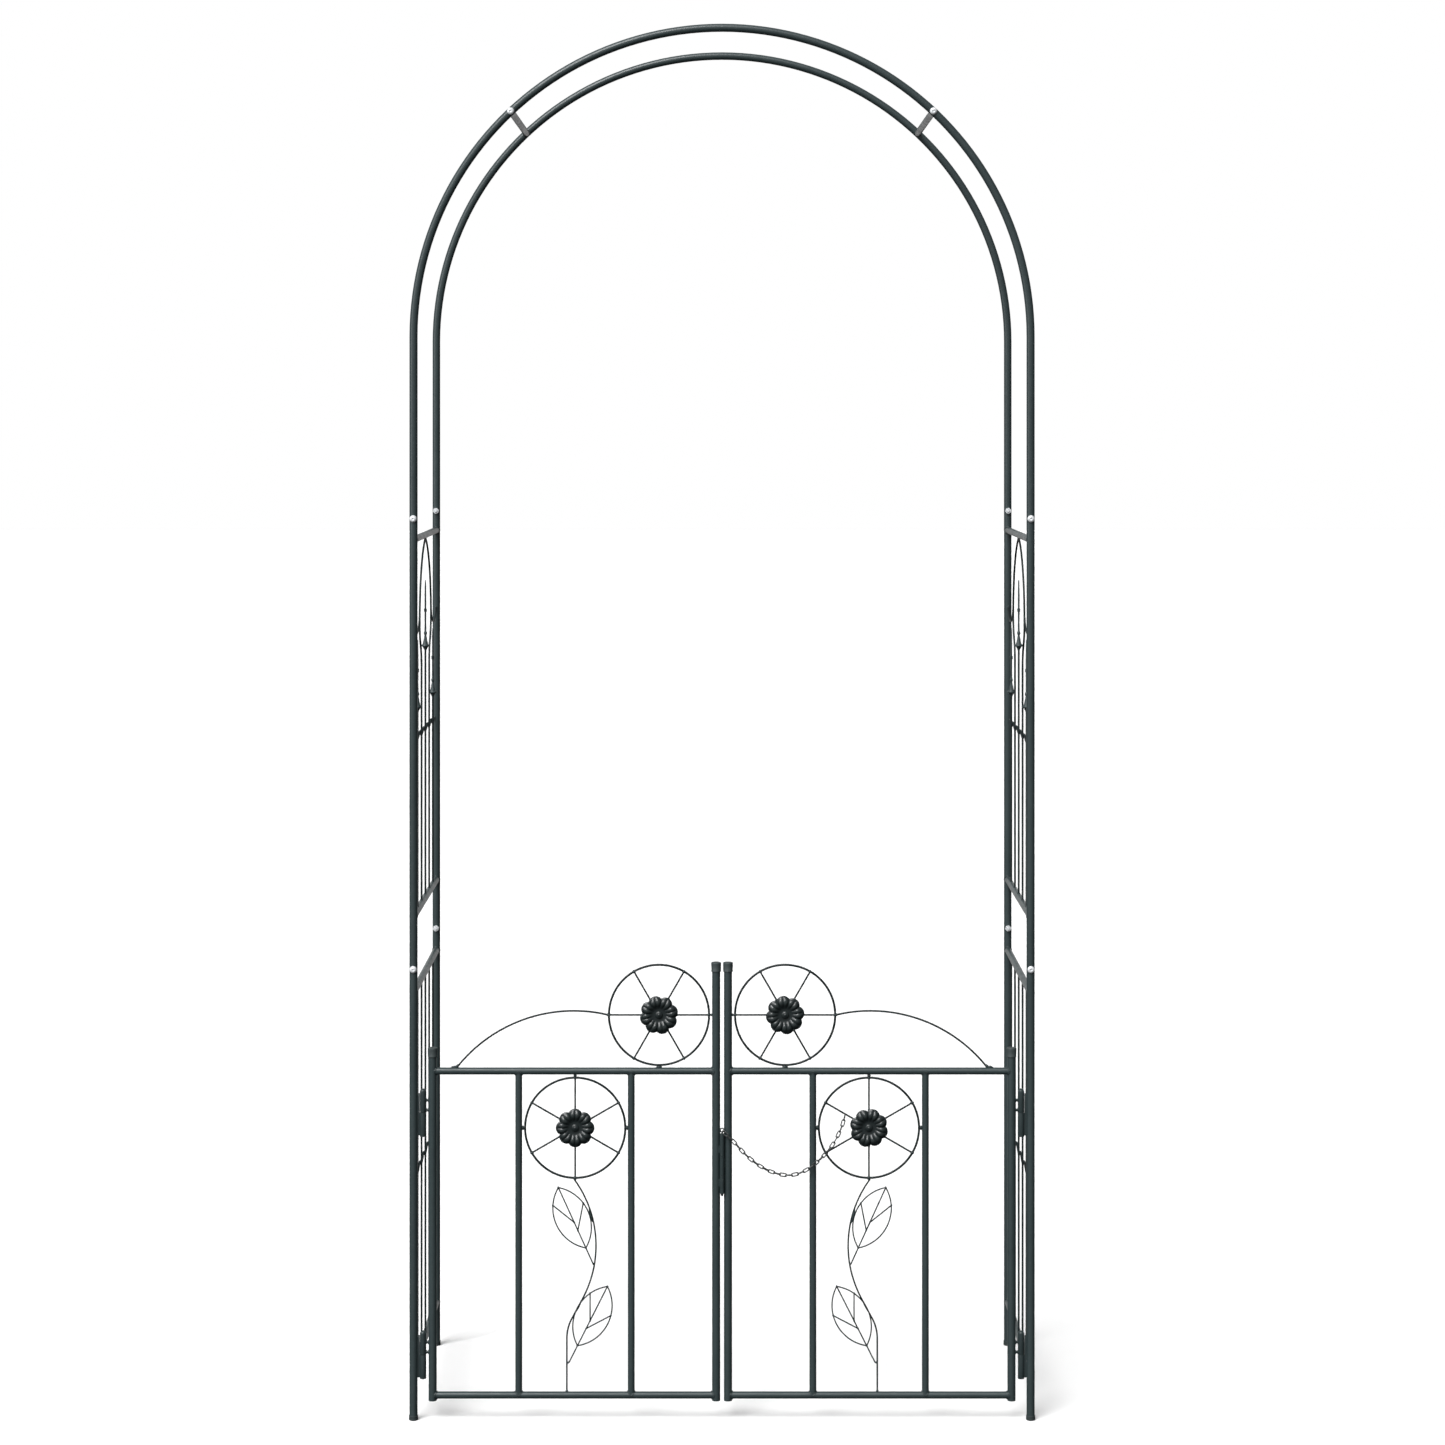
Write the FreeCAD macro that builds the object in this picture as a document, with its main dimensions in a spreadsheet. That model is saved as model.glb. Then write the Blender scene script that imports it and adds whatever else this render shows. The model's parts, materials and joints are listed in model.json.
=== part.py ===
"""Garden trellis arch of powder-coated steel tube, with a low double gate between its front posts.

Frame: X runs across the path (left is -X), Y from the front of the arch (-Y) to its back, Z up.
The origin is on the ground, midway between the four feet.  Every length is in millimetres.
"""
import FreeCAD, Part
import math
import os
import re
import Sketcher

Vector = FreeCAD.Vector
Rotation = FreeCAD.Rotation

DIMENSIONS = {
    # The arch as a whole
    "overall_height": 2400,
    "span": 1060.8,            # left post axis to right post axis
    "depth": 436,              # front post axis to rear post axis
    "tube_diameter": 14,
    "tube_wall": 1.2,
    "bar_diameter": 12,
    "bar_wall": 1.0,
    # Push-fit joints: a reduced spigot enters the tube below, and one bolt goes through both
    "lower_joint": 775,        # height of the bolt between lower and upper post
    "upper_joint": 1549,       # height of the bolt between upper post and arch
    "crown_joint_angle": 46.8,  # degrees above the springing line
    "seam_offset": 14,         # from a joint's bolt to the seam
    "spigot_length": 45,
    "spigot_gap": 0.2,
    "swage_length": 12,
    # Joint bolts and nuts
    "bolt_diameter": 5.8,
    "bolt_hole": 6.2,
    "bolt_head_diameter": 12.5,
    "bolt_head_height": 3.6,
    "seat_gap": 0.05,
    "nut_corners": 11.5,
    "nut_height": 5,
    "bolt_tip": 2,             # how far a joint bolt stands out of its nut
    "tie_insert_length": 26,
    # Feet
    "foot_diameter": 16,
    "foot_height": 8,
    "foot_floor": 3,
    "cap_gap": 0.1,
    # Side panels
    "lower_panel_bottom": 81.5,
    "lower_panel_top": 734,
    "upper_panel_bottom": 865,
    "upper_panel_top": 1513,
    "wire_diameter": 3.6,
    "scallop_wire": 3.0,
    "lower_scallop": 411,
    "left_upper_scallop": 1170,
    "right_upper_scallop": 1164,
    "lower_scallop_sag": 13,
    "upper_scallop_sag": 10.5,
    "scallop_crest": 6,        # bend radius where the wire crosses an upright one
    "scallop_end": 6.8,        # from a post's axis to the wire's end
    "ogive_turn": 1281,        # where the two middle wires leave the vertical
    "ogive_waist": 1362,       # where the ogive is widest
    "ogive_half_width": 107,
    "swag_wire": 3.0,
    "swag_top": 1371,
    "swag_sag": 24,
    # Spear finials, heights counted from the top of the wire below
    "centre_finial": 1306,
    "side_finial": 1210,
    "finial_height": 126,
    "bulb_radius": 5.5,
    "bulb_waist": 9,
    "bulb_top": 26,
    "collar_radius": 7.8,
    "collar_height": 3.4,
    "neck_radius": 1.7,
    "bead_radius": 3,
    "bead_centre": 31,
    "blade_foot": 36,
    "blade_width": 11,
    "blade_thickness": 3.4,
    "knot_centre": 72,
    "knot_radius": 2.9,
    "knot_height": 6,
    # Gate leaves
    "hinge_stile": 497.5,      # distance of each stile's axis from the middle of the gate
    "meeting_stile": 10.2,
    "stile_foot": 33.5,
    "hinge_stile_top": 640,
    "meeting_stile_top": 786.7,
    "bottom_rail": 42.6,
    "top_rail": 599.6,
    "outer_baluster": 349.5,
    "inner_baluster": 156.1,
    "baluster_diameter": 11.8,
    "stile_cap_diameter": 17,
    "stile_cap_height": 16,
    "stile_cap_floor": 3,
    # Wheels and rosettes on the leaves
    "wheel_radius": 86.1,
    "wheel_wire": 3.8,
    "spoke_diameter": 3,
    "weld_diameter": 4.6,
    "upper_wheel_offset": 108.4,
    "upper_wheel_height": 696,
    "upper_tab": 10.8,
    "lower_tab": 9.6,
    "lower_wheel_offset": 252.5,
    "lower_wheel_height": 502,
    "rosette_core": 24,
    "rosette_thickness": 3,
    "petal_offset": 20.5,
    "petal_radius": 12.5,
    "button_radius": 7.2,
    "button_height": 6.5,
    # Curved wires on the leaves
    "brace_wire": 3.2,
    "brace_radius": 256,
    "brace_centre_offset": 255,
    "brace_centre_height": 447,
    "brace_start": 76.8,
    "brace_sweep": 65.6,
    "stem_wire": 2.8,
    "stem_gap": 0.3,           # from the stem's tip to the wheel
    "stem_tip_offset": 254.4,
    "stem_bow_offset": 181.8,
    "stem_bow_height": 316,
    "stem_bow_radius": 192,
    "stem_foot_offset": 266.8,
    "stem_foot_bend": 158,
    "stem_foot_radius": 70,
    "leaf_wire": 2.3,
    "leaf_weld_radius": 1.6,
    "leaf_length": 114,
    "leaf_half_width": 29.5,
    "leaf_drop": 3.2,
    # Gate hinges
    "hinge_axis": 514,
    "upper_hinge": 487,
    "lower_hinge": 71,
    "knuckle_diameter": 11,
    "knuckle_split": 41.5,
    "hinge_height": 82.5,
    "hinge_gap": 0.25,
    "hinge_pin_diameter": 6,
    "hinge_running_gap": 0.05,
    "hinge_pin_rise": 28,
    "hinge_bore_depth": 30,
    "hinge_plate": 3,
    "hinge_plate_foot": 2,
    "hinge_plate_height": 72.5,
    "hinge_plate_gap": 0.7,
    "hinge_link_diameter": 4.4,
    "upper_link_drop": 20,     # both counted down from the top of the hinge
    "lower_link_drop": 37,
    # Latch: a drop pin through knuckles on the meeting stiles
    "latch_setback": 7.5,      # how far the latch axis stands in front of the stiles
    "latch_foot": 390.5,
    "latch_lower_split": 421.3,
    "latch_upper_split": 454.2,
    "latch_head": 492,
    "latch_gap": 0.3,
    "latch_knuckle_diameter": 8,
    "latch_bore": 5.4,
    "latch_pin_diameter": 4.8,
    "latch_pin_foot": 386,
    "latch_flange_diameter": 7.6,
    "latch_flange_height": 1.6,
    "latch_lug": 3,
    "latch_lug_height": 12,
    "left_lower_lug": 403,
    "left_upper_lug": 460,
    "right_lug": 434,
    "eye_radius": 3.3,
    "eye_wire": 2.2,
    "eye_height": 499.6,
    "chain_width": 7.5,
}

UPRIGHT = Rotation()
ALONG_X = Rotation(Vector(0, 1, 0), 90)
ALONG_Y = Rotation(Vector(1, 0, 0), -90)
FACING = Rotation(Vector(1, 0, 0), 90)      # local X, Y become X, Z; local Z points to the front
SIDES = {"left": -1, "right": 1}
ENDS = {"front": -1, "rear": 1}
WIRE_BAYS = 6                               # five upright wires divide a side panel into six bays
PETALS = 8
SPOKE_PAIRS = 3
SHORTEST_RUN = 0.01                         # a bent wire's straight run under this is left out
BITE = 1                                    # how far a wire first runs into the post that trims it
OGIVE_EASE = 0.985                          # keeps the ogive's crown arc clear of its waist's bend
CHAIN_ARC_SHARE = 0.45                      # of the shorter run, taken by each bend of the chain

doc = FreeCAD.newDocument("trellis_arch")
sheet = doc.addObject("Spreadsheet::Sheet", "Sheet")
for row, (alias, number) in enumerate(DIMENSIONS.items(), start=1):
    sheet.set(f"A{row}", alias.replace("_", " "))
    sheet.set(f"B{row}", str(number))
    sheet.setAlias(f"B{row}", alias)
doc.recompute()

nodes = []


# ---------------------------------------------------------------- document helpers
def size(alias):
    """The number in the sheet's cell of that name."""
    return float(sheet.get(alias))


def sheet_text(expression):
    """The expression with every sheet alias in it written as a reference to the sheet."""
    def refer(match):
        word = match.group()
        return f"Sheet.{word}" if word in DIMENSIONS else word
    return re.sub(r"[a-z][a-z_]*", refer, str(expression))


def bind(obj, **properties):
    for name, expression in properties.items():
        obj.setExpression(name, sheet_text(expression))
    return obj


def place(obj, at, turn=UPRIGHT):
    obj.Placement = FreeCAD.Placement(Vector(), turn)
    for axis, expression in zip("xyz", at):
        obj.setExpression(f"Placement.Base.{axis}", sheet_text(expression))
    return obj


def cylinder(name, radius, length, at, turn=UPRIGHT):
    obj = bind(doc.addObject("Part::Cylinder", name), Radius=radius, Height=length)
    return place(obj, at, turn)


def cone(name, foot_radius, top_radius, height, at):
    obj = bind(doc.addObject("Part::Cone", name), Radius1=foot_radius, Radius2=top_radius, Height=height)
    return place(obj, at)


def sphere(name, radius, at):
    return place(bind(doc.addObject("Part::Sphere", name), Radius=radius), at)


def box(name, sizes, at, turn=UPRIGHT):
    length, width, height = sizes
    obj = bind(doc.addObject("Part::Box", name), Length=length, Width=width, Height=height)
    return place(obj, at, turn)


def arc_rod(name, bend_radius, radius, start, sweep, centre):
    """A round rod bent to an arc that faces the front, from start degrees (0 is +X, 90 is up)."""
    obj = doc.addObject("Part::Torus", name)
    bind(obj, Radius1=bend_radius, Radius2=radius, Angle3=sweep)
    return place(obj, centre, FACING.multiply(Rotation(Vector(0, 0, 1), start)))


def fuse(name, *shapes):
    obj = doc.addObject("Part::MultiFuse", name)
    obj.Shapes = list(shapes)
    return obj


def cut(name, base, *tools):
    for tool in tools:
        remainder = doc.addObject("Part::Cut", f"{name}_remainder")
        remainder.Base = base
        remainder.Tool = tool
        base = remainder
    return base


def group(name, members):
    obj = doc.addObject("Part::Compound", name)
    obj.Links = list(members)
    return obj


def node(label, obj):
    """Hands obj in as the sub-part of that name."""
    obj.Label = label
    nodes.append(obj)
    return obj


def signed(side, expression):
    return f"{side} * ({expression})"


# ---------------------------------------------------------------- PartDesign helpers
def origin_plane(body, role):
    return next(plane for plane in body.Origin.OriginFeatures if plane.Role == role)


def new_sketch(body, name, role):
    sketch = body.newObject("Sketcher::SketchObject", name)
    sketch.AttachmentSupport = (origin_plane(body, role), [""])
    sketch.MapMode = "FlatFace"
    return sketch


def sketch_circle(sketch, radius, across=None, up=None):
    """A circle whose radius, and centre if it is off the origin, are bound to the sheet."""
    index = sketch.addGeometry(Part.Circle(Vector(across is not None, up is not None, 0), Vector(0, 0, 1), 1))
    if across is None and up is None:
        sketch.addConstraint(Sketcher.Constraint("Coincident", index, 3, -1, 1))
    for kind, expression in (("DistanceX", across), ("DistanceY", up)):
        if expression is not None:
            number = sketch.addConstraint(Sketcher.Constraint(kind, -1, 1, index, 3, 1.0))
            sketch.setExpression(f"Constraints[{number}]", sheet_text(expression))
    if across is None and up is not None:
        sketch.addConstraint(Sketcher.Constraint("PointOnObject", index, 3, -2))
    if up is None and across is not None:
        sketch.addConstraint(Sketcher.Constraint("PointOnObject", index, 3, -1))
    number = sketch.addConstraint(Sketcher.Constraint("Radius", index, 1.0))
    sketch.setExpression(f"Constraints[{number}]", sheet_text(radius))


def pad(body, name, sketch, length, reverse=False):
    feature = body.newObject("PartDesign::Pad", name)
    feature.Profile = sketch
    feature.Reversed = reverse
    return bind(feature, Length=length)


def pad_ring(body, name, outer, inner, length, reverse=False):
    sketch = new_sketch(body, f"{name}_section", "XY_Plane")
    sketch_circle(sketch, outer)
    sketch_circle(sketch, inner)
    return pad(body, name, sketch, length, reverse)


def cross_hole(body, name, height):
    """A bolt hole along Y through the tube's axis."""
    sketch = new_sketch(body, f"{name}_centre", "XZ_Plane")
    sketch_circle(sketch, "bolt_hole / 2", up=height)
    feature = body.newObject("PartDesign::Pocket", name)
    feature.Profile = sketch
    feature.Midplane = True
    return bind(feature, Length="tube_diameter * 3")


# ---------------------------------------------------------------- bent wire
def rounded_path(points, radii):
    """Straight runs through the points, joined at each inner point by a tangent arc."""
    edges = []
    start = points[0]
    for before, corner, after, radius in zip(points, points[1:], points[2:], radii):
        towards = (corner - before).normalize()
        away = (after - corner).normalize()
        half_turn = towards.getAngle(away) / 2
        setback = radius * math.tan(half_turn)
        arc_start = corner - towards * setback
        arc_end = corner + away * setback
        inward = (away - towards).normalize()
        middle = corner + inward * radius * (1 / math.cos(half_turn) - 1)
        if (arc_start - start).dot(towards) > SHORTEST_RUN:
            edges.append(Part.LineSegment(start, arc_start).toShape())
        else:
            arc_start = start
        edges.append(Part.Arc(arc_start, middle, arc_end).toShape())
        start = arc_end
    if (points[-1] - start).Length > SHORTEST_RUN:
        edges.append(Part.LineSegment(start, points[-1]).toShape())
    return Part.Wire(edges)


def bent_wire(name, points, radii, diameter):
    """A round wire swept along a rounded path; its diameter is bound to the sheet."""
    path = doc.addObject("Part::Feature", f"{name}_path")
    path.Shape = rounded_path(points, radii)
    first_edge = path.Shape.Edges[0]
    heading = first_edge.tangentAt(first_edge.FirstParameter)
    section = bind(doc.addObject("Part::Circle", f"{name}_section"), Radius=f"{diameter} / 2")
    section.Placement = FreeCAD.Placement(points[0], Rotation(Vector(0, 0, 1), heading))
    sweep = doc.addObject("Part::Sweep", name)
    sweep.Sections = [section]
    sweep.Spine = (path, [f"Edge{number + 1}" for number in range(len(path.Shape.Edges))])
    sweep.Solid = True
    sweep.Frenet = False
    return sweep


# ---------------------------------------------------------------- shared positions
TUBE = "tube_diameter / 2"
TUBE_BORE = "tube_diameter / 2 - tube_wall"
SPIGOT = "tube_diameter / 2 - tube_wall - spigot_gap"
SPIGOT_BORE = "tube_diameter / 2 - 2 * tube_wall - spigot_gap"
SPRINGING = "(overall_height - tube_diameter / 2 - span / 2)"
LOWER_SEAM = "(lower_joint + seam_offset)"
UPPER_SEAM = "(upper_joint + seam_offset)"
FRONT = "-depth / 2"
LATCH_PLANE = "(-depth / 2 - latch_setback)"

arch_radius = size("span") / 2
gate_plane = -size("depth") / 2


def post_place(side, end):
    return signed(side, "span / 2"), signed(end, "depth / 2")


def full_rod(name, radius, across, along):
    """The space that an upright tube takes, used to shape whatever is welded against it."""
    return cylinder(name, radius, "overall_height", (across, along, 0))


post_spaces = {
    (side, end): full_rod("post_space", TUBE, *post_place(side, end))
    for side in SIDES.values() for end in ENDS.values()
}


# ---------------------------------------------------------------- posts and arch
def make_post(label, side, end, foot, length, holes, spigot):
    """A straight tube; the upper ones have a reduced spigot below, which enters the lower post."""
    body = doc.addObject("PartDesign::Body", label)
    pad_ring(body, f"{label}_tube", TUBE, TUBE_BORE, length)
    if spigot:
        pad_ring(body, f"{label}_swage", TUBE, SPIGOT_BORE, "swage_length")
        pad_ring(body, f"{label}_spigot", SPIGOT, SPIGOT_BORE, "spigot_length", reverse=True)
    for number, height in enumerate(holes):
        cross_hole(body, f"{label}_hole_{number}", height)
    across, along = post_place(side, end)
    place(body, (across, along, foot))
    return node(label, body)


def make_haunch(label, side, end):
    """The arch's side: a straight run above the upper post, then the arc up to the crown joint."""
    across, along = post_place(side, end)
    seam_angle = math.degrees(size("seam_offset") / arch_radius)
    sweep = size("crown_joint_angle") + seam_angle
    start = 0 if side > 0 else 180 - sweep
    rise = f"{SPRINGING} - {UPPER_SEAM}"
    centre = (0, along, SPRINGING)
    outside = fuse(
        "haunch_outside",
        cylinder("haunch_run", TUBE, rise, (across, along, UPPER_SEAM)),
        arc_rod("haunch_arc", "span / 2", TUBE, start, f"{sweep}", centre),
        cylinder("haunch_spigot", SPIGOT, "spigot_length + swage_length / 2",
                 (across, along, f"{UPPER_SEAM} - spigot_length")),
    )
    inside = fuse(
        "haunch_inside",
        cylinder("haunch_run_bore", TUBE_BORE, f"{rise} - swage_length",
                 (across, along, f"{UPPER_SEAM} + swage_length")),
        arc_rod("haunch_arc_bore", "span / 2", TUBE_BORE, start, f"{sweep}", centre),
    )
    spigot_bore = cylinder("haunch_spigot_bore", SPIGOT_BORE, "spigot_length + swage_length * 1.5",
                           (across, along, f"{UPPER_SEAM} - spigot_length"))
    shell = cut("haunch_shell", outside, inside, spigot_bore)
    node(label, cut(label, shell, joint_hole(side, end, "upper_joint"), crown_hole(side, end)))


def make_crown(label, end):
    """The arch's top: an arc with a reduced spigot at each end, inside the haunches."""
    along = signed(end, "depth / 2")
    centre = (0, along, SPRINGING)
    degrees_per_mm = math.degrees(1 / arch_radius)
    seam = size("crown_joint_angle") + size("seam_offset") * degrees_per_mm
    tip = seam - size("spigot_length") * degrees_per_mm
    swage = seam + size("swage_length") * degrees_per_mm
    outside = fuse(
        "crown_outside",
        arc_rod("crown_arc", "span / 2", TUBE, seam, f"{180 - 2 * seam}", centre),
        arc_rod("crown_spigots", "span / 2", SPIGOT, tip, f"{180 - 2 * tip}", centre),
    )
    bore = arc_rod("crown_bore", "span / 2", TUBE_BORE, swage, f"{180 - 2 * swage}", centre)
    spigot_bore = arc_rod("crown_spigot_bore", "span / 2", SPIGOT_BORE, tip, f"{180 - 2 * tip}", centre)
    shell = cut("crown_shell", outside, bore, spigot_bore)
    holes = [crown_hole(side, end) for side in SIDES.values()]
    node(label, cut(label, shell, *holes))


def crown_place(side):
    """The bolt's place at a crown joint, across the arch and in height."""
    angle = math.radians(size("crown_joint_angle"))
    across = signed(side, f"span / 2 * {math.cos(angle):.6f}")
    return across, f"{SPRINGING} + span / 2 * {math.sin(angle):.6f}"


def drill(name, at, side, end):
    across, height = at
    along = f"{signed(end, 'depth / 2')} - tube_diameter * 1.5"
    return cylinder(name, "bolt_hole / 2", "tube_diameter * 3", (across, along, height), ALONG_Y)


def joint_hole(side, end, height):
    return drill("joint_drill", (signed(side, "span / 2"), height), side, end)


def crown_hole(side, end):
    return drill("crown_drill", crown_place(side), side, end)


def make_tie_bar(side):
    """A cross tie between the two arches, threaded at both ends for the crown bolts."""
    across, height = crown_place(side)
    length = "(depth - tube_diameter)"
    start = (across, f"-{length} / 2", height)
    inner_start = (across, f"-{length} / 2 + tie_insert_length", height)
    rod = cylinder("tie_rod", "bar_diameter / 2", length, start, ALONG_Y)
    bore = cylinder("tie_bore", "bar_diameter / 2 - bar_wall", f"{length} - 2 * tie_insert_length",
                    inner_start, ALONG_Y)
    thread = cylinder("tie_thread", "bolt_diameter / 2 + cap_gap", length, start, ALONG_Y)
    return cut("tie_bar", rod, bore, thread)


def bolt(at, end, grip):
    """A pan-head bolt whose head faces away from the arch's middle; grip is the shank's length."""
    across, height = at
    axis = signed(end, "depth / 2")
    seat = "(tube_diameter / 2 + seat_gap)"
    if end < 0:
        head_foot, shank_foot = f"{axis} - {seat} - bolt_head_height", f"{axis} - {seat}"
    else:
        head_foot, shank_foot = f"{axis} + {seat}", f"{axis} + {seat} - {grip}"
    head = cylinder("bolt_head", "bolt_head_diameter / 2", "bolt_head_height",
                    (across, head_foot, height), ALONG_Y)
    shank = cylinder("bolt_shank", "bolt_diameter / 2", grip, (across, shank_foot, height), ALONG_Y)
    return fuse("bolt", head, shank)


def nut(at, end):
    across, height = at
    axis = signed(end, "depth / 2")
    seat = "(tube_diameter / 2 + seat_gap)"
    foot = f"{axis} + {seat}" if end < 0 else f"{axis} - {seat} - nut_height"
    blank = doc.addObject("Part::Prism", "nut_blank")
    blank.Polygon = 6
    bind(blank, Circumradius="nut_corners / 2", Height="nut_height")
    place(blank, (across, foot, height), ALONG_Y)
    thread = cylinder("nut_thread", "bolt_diameter / 2 + cap_gap", "nut_height",
                      (across, foot, height), ALONG_Y)
    return cut("nut", blank, thread)


def make_foot_cap(side, end):
    across, along = post_place(side, end)
    cup = cylinder("foot_cup", "foot_diameter / 2", "foot_height", (across, along, 0))
    socket = cylinder("foot_socket", f"{TUBE} + cap_gap", "foot_height", (across, along, "foot_floor"))
    return cut("foot_cap", cup, socket)


def make_arch():
    for side_name, side in SIDES.items():
        for end_name, end in ENDS.items():
            make_post(f"{end_name}_{side_name}_lower_post", side, end, "foot_floor",
                      f"{LOWER_SEAM} - foot_floor", ["lower_joint - foot_floor"], spigot=False)
            make_post(f"{end_name}_{side_name}_upper_post", side, end, LOWER_SEAM,
                      f"{UPPER_SEAM} - {LOWER_SEAM}",
                      ["-seam_offset", f"upper_joint - {LOWER_SEAM}"], spigot=True)
            make_haunch(f"{end_name}_{side_name}_haunch", side, end)
    for end_name, end in ENDS.items():
        make_crown(f"{end_name}_crown", end)
    corners = [(side, end) for side in SIDES.values() for end in ENDS.values()]
    node("tie_bars", group("tie_bars", [make_tie_bar(side) for side in SIDES.values()]))
    seats = [((signed(side, "span / 2"), height), end)
             for side, end in corners for height in ("lower_joint", "upper_joint")]
    grip = "(tube_diameter + nut_height + bolt_tip)"
    node("joint_bolts", group("joint_bolts", [bolt(at, end, grip) for at, end in seats]))
    node("joint_nuts", group("joint_nuts", [nut(at, end) for at, end in seats]))
    tie_grip = "(tube_diameter + tie_insert_length - bolt_tip)"
    crown_bolts = [bolt(crown_place(side), end, tie_grip) for side, end in corners]
    node("crown_bolts", group("crown_bolts", crown_bolts))
    node("foot_caps", group("foot_caps", [make_foot_cap(*corner) for corner in corners]))


# ---------------------------------------------------------------- side panels
def bay_line(number):
    """How far upright wire number (1 to 5) stands from the panel's middle, as an expression."""
    return f"depth * {number / WIRE_BAYS - 0.5:.6f}"


def make_panel_rail(side, height):
    across = signed(side, "span / 2")
    at = (across, "-depth / 2", height)
    rail = cylinder("rail", "bar_diameter / 2", "depth", at, ALONG_Y)
    bore = cylinder("rail_bore", "bar_diameter / 2 - bar_wall", "depth", at, ALONG_Y)
    return cut("panel_rail", rail, bore, post_spaces[side, -1], post_spaces[side, 1])


def upright_wire(side, number, foot, top):
    at = (signed(side, "span / 2"), bay_line(number), foot)
    return cylinder("upright_wire", "wire_diameter / 2", f"{top} - ({foot})", at)


def make_ogive_wire(side, half, rail_space):
    """Rises from the bottom rail, bows out to the ogive's waist and closes under the top rail."""
    plane = side * size("span") / 2
    spread = size("depth") / WIRE_BAYS
    waist = size("ogive_half_width")
    rail = size("bar_diameter") / 2
    foot = size("upper_panel_bottom") + rail
    apex = size("upper_panel_top") - rail
    turn, widest = size("ogive_turn"), size("ogive_waist")
    half_turn = math.atan((waist - spread) / (widest - turn))
    bend = (widest - turn) / (2 * math.sin(2 * half_turn))
    setback = bend * math.tan(half_turn)
    rise = apex - widest
    crown = (rise ** 2 + waist ** 2) / (2 * waist)
    crown_setback = crown * math.tan(math.asin(rise / crown) / 2)
    outline = [(spread, foot), (spread, turn + setback), (waist, widest - setback),
               (waist, widest + crown_setback), (size("wire_diameter") / 2, apex)]
    points = [Vector(plane, half * offset, height) for offset, height in outline]
    wire = bent_wire("ogive_wire", points, [bend, bend, crown * OGIVE_EASE], "wire_diameter")
    return cut("ogive", wire, rail_space)


def make_scallop_wire(side, height, sag):
    """Hangs in a shallow curve between the upright wires, on the panel's outer face."""
    plane = side * (size("span") + size("wire_diameter") + size("scallop_wire")) / 2
    bay = size("depth") / WIRE_BAYS
    crest_radius, end_setback = size("scallop_crest"), size("scallop_end")
    slope = math.atan(2 * sag / (bay / 2))
    run = bay / 2 / math.cos(slope)
    straight = size("scallop_wire") / 3
    sag_radius = (run - crest_radius * math.tan(slope) - straight) / math.tan(slope)
    first, last = -size("depth") / 2, size("depth") / 2
    points, radii = [Vector(plane, first + end_setback, height - end_setback * math.tan(slope))], []
    for number in range(WIRE_BAYS):
        points.append(Vector(plane, first + (number + 0.5) * bay, height - 2 * sag))
        radii.append(sag_radius)
        if number < WIRE_BAYS - 1:
            points.append(Vector(plane, first + (number + 1) * bay, height))
            radii.append(crest_radius)
    points.append(Vector(plane, last - end_setback, height - end_setback * math.tan(slope)))
    radii[0] = radii[-1] = (run - end_setback / math.cos(slope)) / math.tan(slope)
    return bent_wire("scallop_wire", points, radii, "scallop_wire")


def make_swag(side, half):
    """A wire that hangs in one arc from the post to the ogive's waist."""
    across = side * size("span") / 2
    sag = size("swag_sag")
    post_face = (size("depth") - size("tube_diameter")) / 2 + BITE
    waist_face = size("ogive_half_width") + (size("wire_diameter") + size("swag_wire")) / 2
    chord = post_face - waist_face
    bend = (chord ** 2 / 4 + sag ** 2) / (2 * sag)
    sweep = 2 * math.degrees(math.asin(chord / 2 / bend))
    centre = (across, half * (post_face + waist_face) / 2, size("swag_top") - sag + bend)
    arc = bind(doc.addObject("Part::Torus", "swag_arc"), Radius1=f"{bend:.4f}",
               Radius2="swag_wire / 2", Angle3=f"{sweep:.4f}")
    panel_plane = Rotation(Vector(1, 1, 1), 120)        # local X, Y become Y, Z
    place(arc, centre, panel_plane.multiply(Rotation(Vector(0, 0, 1), 270 - sweep / 2)))
    return cut("swag", arc, post_spaces[side, half])


def make_finial(side, number, foot):
    """A spear: a double cone with a collar on the wire's end, a bead, and a flat blade above."""
    across, along = signed(side, "span / 2"), bay_line(number)

    def above(height):
        return across, along, f"{foot} + {height}"

    blade_length = "(finial_height - blade_foot)"
    lens_radius = f"(({blade_length} / 2) ^ 2 + (blade_width / 2) ^ 2) / blade_width"
    lobes = [
        cylinder("blade_lobe", lens_radius, "blade_thickness",
                 (f"{across} - blade_thickness / 2", f"{along} + {hand} * ({lens_radius} - blade_width / 2)",
                  f"{foot} + blade_foot + {blade_length} / 2"), ALONG_X)
        for hand in (-1, 1)
    ]
    blade = doc.addObject("Part::Common", "finial_blade")
    blade.Base, blade.Tool = lobes
    return fuse(
        "finial",
        cone("bulb_foot", "wire_diameter / 2", "bulb_radius", "bulb_waist", above("0")),
        cone("bulb", "bulb_radius", "neck_radius", "bulb_top - bulb_waist", above("bulb_waist")),
        cylinder("collar", "collar_radius", "collar_height", above("bulb_waist - collar_height / 2")),
        cylinder("neck", "neck_radius", "knot_centre - bulb_waist", above("bulb_waist")),
        sphere("bead", "bead_radius", above("bead_centre")),
        blade,
        cylinder("knot", "knot_radius", "knot_height", above("knot_centre - knot_height / 2")),
    )


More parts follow.
